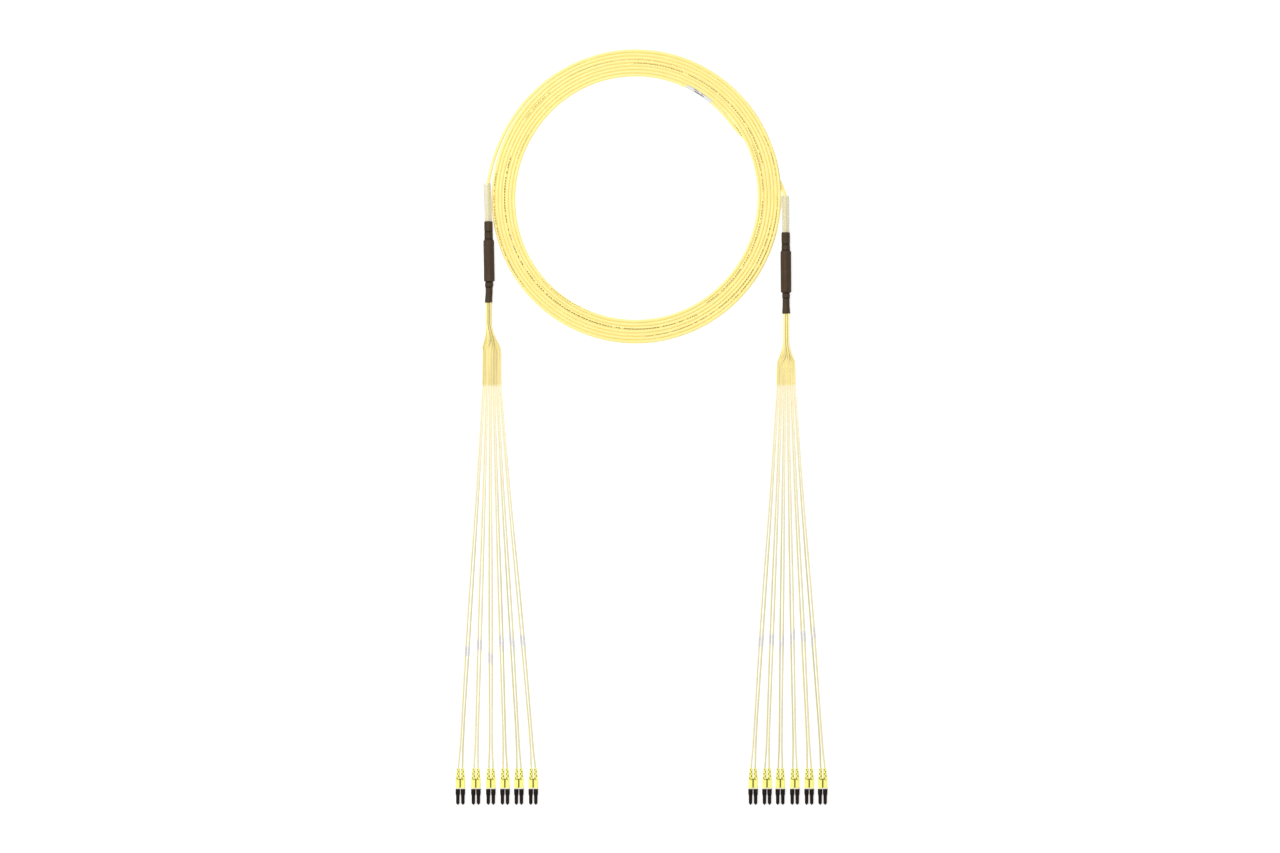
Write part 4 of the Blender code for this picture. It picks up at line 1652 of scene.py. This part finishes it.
@dataclass
class ConnectorRow:
    """The six capped connectors of one end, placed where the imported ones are."""

    side: Side
    shape: DuplexConnector
    meshes: dict[str, bpy.types.Mesh]
    pairs: int = 6
    toe_in: float = 0.6 * MM

    def place(self, number: int) -> Vector:
        """Middle of a connector at the line of its boots' rear ends."""
        low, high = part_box(f"duplex_{self.side.value}_{number}")
        return Vector(((low.x + high.x) / 2, high.y, self.shape.axis_height))

    def entry(self, leg: int) -> Vector:
        """Middle of the boot that a leg goes into, at its rear end."""
        pair, half = divmod(leg, 2)
        return self.place(pair + 1) + Vector(((half - 0.5) * self.shape.pitch, 0.0, 0.0))

    def mouth(self, leg: int) -> Vector:
        """Middle of the boot's rear end, which leans towards the other boot of its pair."""
        return self.entry(leg) + Vector(((0.5 - leg % 2) * 2 * self.toe_in, 0.0, 0.0))

    def boot_matrix(self, leg: int) -> Matrix:
        """Place of a boot, turned about its front end so that its rear end leans in."""
        front = Matrix.Translation(self.entry(leg) - Vector((0.0, self.shape.boot_length, 0.0)))
        angle = (leg % 2 - 0.5) * 2 * math.atan(self.toe_in / self.shape.boot_length)
        lean = Matrix.Rotation(angle, 4, "Z")
        return front @ lean @ Matrix.Translation((0.0, self.shape.boot_length, 0.0))

    def build(self, dresser: Dresser) -> list[list[bpy.types.Object]]:
        """Make the row.

        Args:
            dresser: Makes the pieces.

        Returns:
            For each leg, the pieces at its end.
        """
        pieces = []
        side = self.side.value
        for number in range(1, self.pairs + 1):
            middle = Matrix.Translation(self.place(number))
            stands_for = (f"duplex_{side}_{number}",)
            clip = dresser.piece(
                f"duplex_clip_{side}_{number}", self.meshes["clip"], CLIP_PLASTIC, stands_for, middle
            )
            for half in (0, 1):
                leg = (number - 1) * 2 + half
                where = Matrix.Translation(self.entry(leg))
                caps = (f"dust_caps_{side}_{number}",) if half == 0 else ()
                parts = (
                    ("boot", "boot", BOOT_PLASTIC, (), self.boot_matrix(leg)),
                    ("housing", "housing", HOUSING_PLASTIC, (), where),
                    ("dust_cap", f"cap_{half}", CAP_PLASTIC, caps, where),
                )
                made = [
                    dresser.piece(f"{name}_{side}_{leg + 1:02d}", self.meshes[mesh], finish, nodes, place)
                    for name, mesh, finish, nodes, place in parts
                ]
                pieces.append(made + ([clip] if half == 0 else []))
        return pieces


@dataclass
class FilmWrap:
    """Clear film round the flat row of legs, dipping a little between them."""

    side: Side
    half_width: float
    pitch: float
    legs: int
    wall: float
    dip_depth: float = 0.16 * MM
    steps_per_leg: int = 4
    top_gap: float = 0.05 * MM
    shoulder_rise: float = 0.4 * MM
    base_rise: float = 0.7 * MM
    base_inset: float = 0.2 * MM
    base_gap: float = 0.02 * MM
    stations: int = 12
    ripple_depth: float = 0.05 * MM
    ripple_length: float = 5.0 * MM
    ripple_seed: float = 2.0
    ripple_from: float = 1.5 * MM

    def outline(self, low: float, high: float) -> list[tuple[float, float]]:
        """Section of the film between two heights, as (x, z) points about its middle.

        Args:
            low: The lower height.
            high: The upper height.

        Returns:
            The section's points.
        """
        top, steps = [], self.steps_per_leg * self.legs
        for step in range(steps + 1):
            x = between(-self.half_width, self.half_width, step / steps)
            dip = self.dip_depth * (0.5 - 0.5 * math.cos(math.tau * (x / self.pitch)))
            top.append((x, high - self.top_gap - dip))
        reach = self.half_width + self.wall
        rim = [(reach, (low + high) / 2 + self.shoulder_rise), (reach, low + self.base_rise)]
        foot = self.half_width - self.base_inset
        base = [(-foot, low + self.base_gap), (foot, low + self.base_gap)]
        return top[::-1] + [(-x, z) for x, z in rim] + base + rim[::-1]

    def mesh(self, box: tuple[Vector, Vector]) -> bpy.types.Mesh:
        """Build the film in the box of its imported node.

        Args:
            box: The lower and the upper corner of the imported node's box.

        Returns:
            The finished mesh.
        """
        low, high = box
        middle = (low.x + high.x) / 2
        outline = self.outline(low.z, high.z)
        sections = []
        for step in range(self.stations + 1):
            y = between(high.y, low.y, step / self.stations)
            ripple = self.ripple_depth * noise.noise(Vector((y / self.ripple_length, self.ripple_seed, 0.0)))
            lifted = [(middle + x, z + (ripple if z > self.ripple_from else 0.0)) for x, z in outline]
            sections.append((y, lifted))
        return Loft(sections).mesh(f"film_wrap_{self.side.value}")


@dataclass
class LegSet:
    """Twelve legs of one end, from the breakout through the flat wrapped row to their boots."""

    side: Side
    od: float = 1.9 * MM
    pitch: float = 2.0 * MM
    columns: int = 3
    rows: int = 4
    bundle_length: dict[Side, float] = per_side(26.0 * MM, 32.0 * MM)
    fan_steps: int = 6
    fan_slack: float = 0.25
    fan_squeeze: tuple = (1.0, 1.0, 1.0, 1.0, 0.9, 0.9, 0.955)
    column_spread: float = 0.12
    stagger: float = 1.0 * MM
    wrap_wall: float = 0.3 * MM
    wrap_inset: float = 1.0 * MM
    touch_gap: float = 0.3 * MM
    floor_gap: float = 0.05 * MM
    spread_stations: tuple = (0.05, 0.3, 0.6, 0.87, 0.91, 0.95, 0.98)
    spread_ease: float = 0.1
    rise_start: float = 0.87
    rise_end: float = 0.98
    pair_pinch: float = 0.3
    pinch_start: float = 0.6
    pinch_full: float = 0.87
    pinch_ease: float = 0.06
    seat: float = 0.8 * MM
    ring_spacing: float = 6.0 * MM
    sides: int = 12
    tone_edge: float = 0.2 * MM
    tone_drift: float = 35.0 * MM
    tone_seed: dict[Side, float] = per_side(0.0, 100.0)
    seed_step: float = 7.3
    held_dull: dict[Side, float] = per_side(0.95, 0.1)
    held_offset: float = 0.25
    held_swing: float = 0.35
    free_swing: float = 0.2
    least_dull: float = 0.45
    dull_length: float = 260.0 * MM
    tag_length: float = 13.0 * MM
    tag_radius: float = 1.35 * MM
    tag_lift: float = 0.38 * MM
    tag_steps: int = 8
    tag_sides: int = 16
    tag_from_boots_mm: dict[Side, tuple] = per_side(
        (144.2, 144.8, 152.2, 152.2, 136.8, 134.0, 157.1, 151.9, 157.7, 152.5, 157.7, 156.8),
        (156.2, 156.2, 159.0, 158.6, 150.7, 156.5, 159.6, 164.8, 162.6, 162.6, 157.1, 166.6),
    )

    def count(self) -> int:
        """Number of legs."""
        return self.columns * self.rows

    def wrap_box(self) -> tuple[Vector, Vector]:
        """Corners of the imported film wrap."""
        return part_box(f"leg_wrap_{self.side.value}")

    def row_x(self, leg: float) -> float:
        """Place of a leg in the flat row."""
        low, high = self.wrap_box()
        return (low.x + high.x) / 2 + (leg - (self.count() - 1) / 2) * self.pitch

    def row_height(self) -> float:
        """Height of the legs' middles in the flat row."""
        return self.wrap_wall + self.touch_gap + self.od / 2

    def bundle_offset(self, leg: int, turned: float) -> tuple[float, float, float]:
        """Place of a leg about the bundle's middle, as its column lies down into the flat row.

        Args:
            leg: The leg's number, from 0 at the left.
            turned: How far its column has lain down, from 0 to 1.

        Returns:
            The places across and up, and the bundle's half height.
        """
        column, row = divmod(leg, self.rows)
        angle = turned * math.pi / 2
        pitch = self.pitch * (1.0 + self.fan_slack * math.sin(2 * angle))
        spacing = min(pitch / max(math.cos(angle), 1.0 / self.rows), self.rows * pitch)
        packed = 1.0 - smooth_step(2 * turned)
        spacing *= 1.0 + self.column_spread * packed
        from_middle = (row - (self.rows - 1) / 2) * pitch
        across = (column - (self.columns - 1) / 2) * spacing + from_middle * math.sin(angle)
        across += (row % 2 - 0.5) * self.stagger * packed
        return across, from_middle * math.cos(angle), (self.rows - 1) / 2 * pitch * math.cos(angle)

    def path(self, leg: int, row: ConnectorRow) -> list[Vector]:
        """Route of one leg.

        Args:
            leg: The leg's number, from 0 at the left.
            row: The connectors that the legs go into.

        Returns:
            Points from the breakout's front neck to the boot.
        """
        axis = BreakoutAxis(self.side)
        end = -axis.length / 2
        neck = axis.at(end - self.touch_gap, axis.bend_at(end))
        low, high = self.wrap_box()
        row_middle = (low.x + high.x) / 2
        bundle = self.bundle_length[self.side]
        fan_start = neck.y - bundle
        fan_length = fan_start - (high.y + self.wrap_inset)
        route = []
        for share in (0.0, 0.5):
            across, up, half_height = self.bundle_offset(leg, 0.0)
            settled = self.row_height() + half_height
            middle_z = between(neck.z, settled, smooth_step(share))
            route.append(Vector((neck.x + across, neck.y - bundle * share, middle_z + up)))
        for step in range(self.fan_steps + 1):
            share = step / self.fan_steps
            across, up, half_height = self.bundle_offset(leg, smooth_step(share))
            middle_x = between(neck.x, row_middle, share)
            y = fan_start - fan_length * share
            x = middle_x + across * self.fan_squeeze[step]
            route.append(Vector((x, y, self.row_height() + half_height + up)))
        row_end = Vector((self.row_x(leg), low.y, self.row_height()))
        route.append((route[-1] + row_end) / 2)
        route.append(row_end)
        on_floor = self.od / 2 + self.floor_gap
        end = row.mouth(leg) + Vector((0.0, self.touch_gap, 0.0))
        pair_middle = row.place(leg // 2 + 1).x
        for share in self.spread_stations:
            across = share - self.spread_ease * math.sin(math.tau * share) / math.tau
            rise = smooth_step((share - self.rise_start) / (self.rise_end - self.rise_start))
            x = between(row_end.x, end.x, across) + self.pinch_at(share) * (pair_middle - end.x)
            y = between(row_end.y, end.y, share)
            route.append(Vector((x, y, between(on_floor, end.z, rise))))
        route.append(end)
        smooth = smooth_route(route, self.ring_spacing)
        return [smooth[0] + (smooth[0] - smooth[1]).normalized() * self.seat, *smooth, end - self.reach()]

    def reach(self) -> Vector:
        """How far a leg goes on into its boot."""
        return Vector((0.0, self.touch_gap + self.seat, 0.0))

    def pinch_at(self, share: float) -> float:
        """How much closer the legs of a pair lie, at a share of the way to their boots."""
        closing = smooth_step((share - self.pinch_start) / (self.pinch_full - self.pinch_start))
        opening = smooth_step((1.0 - share) / self.pinch_ease)
        return self.pair_pinch * closing * opening

    def tones(self, leg: int, path: list[Vector]) -> dict[str, list[float]]:
        """Shares of the jacket's tones along one leg.

        Args:
            leg: The leg's number, from 0 at the left.
            path: The points that it follows.

        Returns:
            For each tone, its share at each point of the path.
        """
        low, high = self.wrap_box()
        seed = leg * self.seed_step + self.tone_seed[self.side]
        own = 0.5 + 0.5 * noise.cell(Vector((seed, 0.5, 0.5)))
        tan = 0.5 + 0.5 * noise.cell(Vector((seed, 3.5, 0.5)))
        deep, dull = [], []
        for point in path:
            held = point.y > low.y - self.tone_edge
            drift = noise.noise(Vector((seed, point.y / self.tone_drift, 0.0)))
            deep.append(float(held))
            if held:
                share = self.held_dull[self.side] * (own - self.held_offset) + self.held_swing * drift
            else:
                free = smooth_step((low.y - point.y) / self.dull_length)
                share = free * (between(self.least_dull, 1.0, own) + self.free_swing * drift)
            dull.append(min(max(share, 0.0), 1.0))
        return {"deep": deep, "dull": dull, "tan": [tan] * len(path)}

    def tag_mesh(self, name: str, path: list[Vector], middle_y: float) -> bpy.types.Mesh:
        """Small label sleeve round one leg.

        Args:
            name: The mesh's name.
            path: The points that the leg follows.
            middle_y: Where the sleeve's middle lies along Y.

        Returns:
            The finished mesh.
        """
        half, steps = self.tag_length / 2, self.tag_steps
        places = [between(middle_y + half, middle_y - half, step / steps) for step in range(steps + 1)]
        centres = [self.point_at(path, y) + UP * self.tag_lift for y in places]
        marks = [float(1 < step < steps - 1) for step in range(steps + 1)]
        return Tube(centres, self.tag_radius, self.tag_sides).mesh(name, {"ink": marks})

    @staticmethod
    def point_at(path: list[Vector], y: float) -> Vector:
        """Point of a path that runs towards -Y, at a place along Y."""
        for before, after in zip(path, path[1:]):
            if after.y <= y <= before.y:
                return before.lerp(after, (before.y - y) / (before.y - after.y))
        return path[-1].copy()

    def wrap_mesh(self) -> bpy.types.Mesh:
        """Film drawn tight round the row."""
        half = ((self.count() - 1) * self.pitch + self.od) / 2 + self.touch_gap
        return FilmWrap(self.side, half, self.pitch, self.count(), self.wrap_wall).mesh(self.wrap_box())

    def build(self, row: ConnectorRow, ends: list[list[bpy.types.Object]], dresser: Dresser) -> None:
        """Make the legs with their label sleeves, and the film round their row.

        Args:
            row: The connectors that the legs go into.
            ends: For each leg, the pieces at its end.
            dresser: Makes the pieces.
        """
        side = self.side.value
        for leg in range(self.count()):
            path = self.path(leg, row)
            name = f"fibre_leg_{side}_{leg + 1:02d}"
            mesh = Tube(path, self.od / 2, self.sides).mesh(name, self.tones(leg, path))
            made = dresser.piece(name, mesh, LEG_JACKET, (f"leg_{side}_{leg + 1:02d}",))
            tag_name = f"leg_tag_{side}_{leg + 1:02d}"
            tag_y = row.entry(leg).y + self.tag_from_boots_mm[self.side][leg] * MM
            tag = dresser.piece(tag_name, self.tag_mesh(tag_name, path, tag_y), LABEL_STOCK)
            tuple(path[0])
            path_length(path)
            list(ends[leg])
        dresser.piece(f"film_wrap_{side}", self.wrap_mesh(), CLEAR_FILM, (f"leg_wrap_{side}",))


def main() -> None:
    """Build the studio and every sub-assembly in order."""
    logging.basicConfig(level=logging.INFO, format="%(name)s: %(message)s")
    Studio().build()
    dresser = Dresser()
    cable = TrunkCable()
    LOG.info("trunk cable made, %.2f m long", cable.build(dresser))
    CableLabel().build(cable, dresser)
    LOG.info("cable label made")
    shape = DuplexConnector()
    meshes = shape.meshes()
    for side in Side:
        Breakout(side).build(dresser)
        LOG.info("%s breakout made", side.value)
        row = ConnectorRow(side, shape, meshes)
        LegSet(side).build(row, row.build(dresser), dresser)
        LOG.info("%s legs and connectors made", side.value)
    LOG.info("%d pieces in all", dresser.count)


if __name__ == "__main__":
    main()
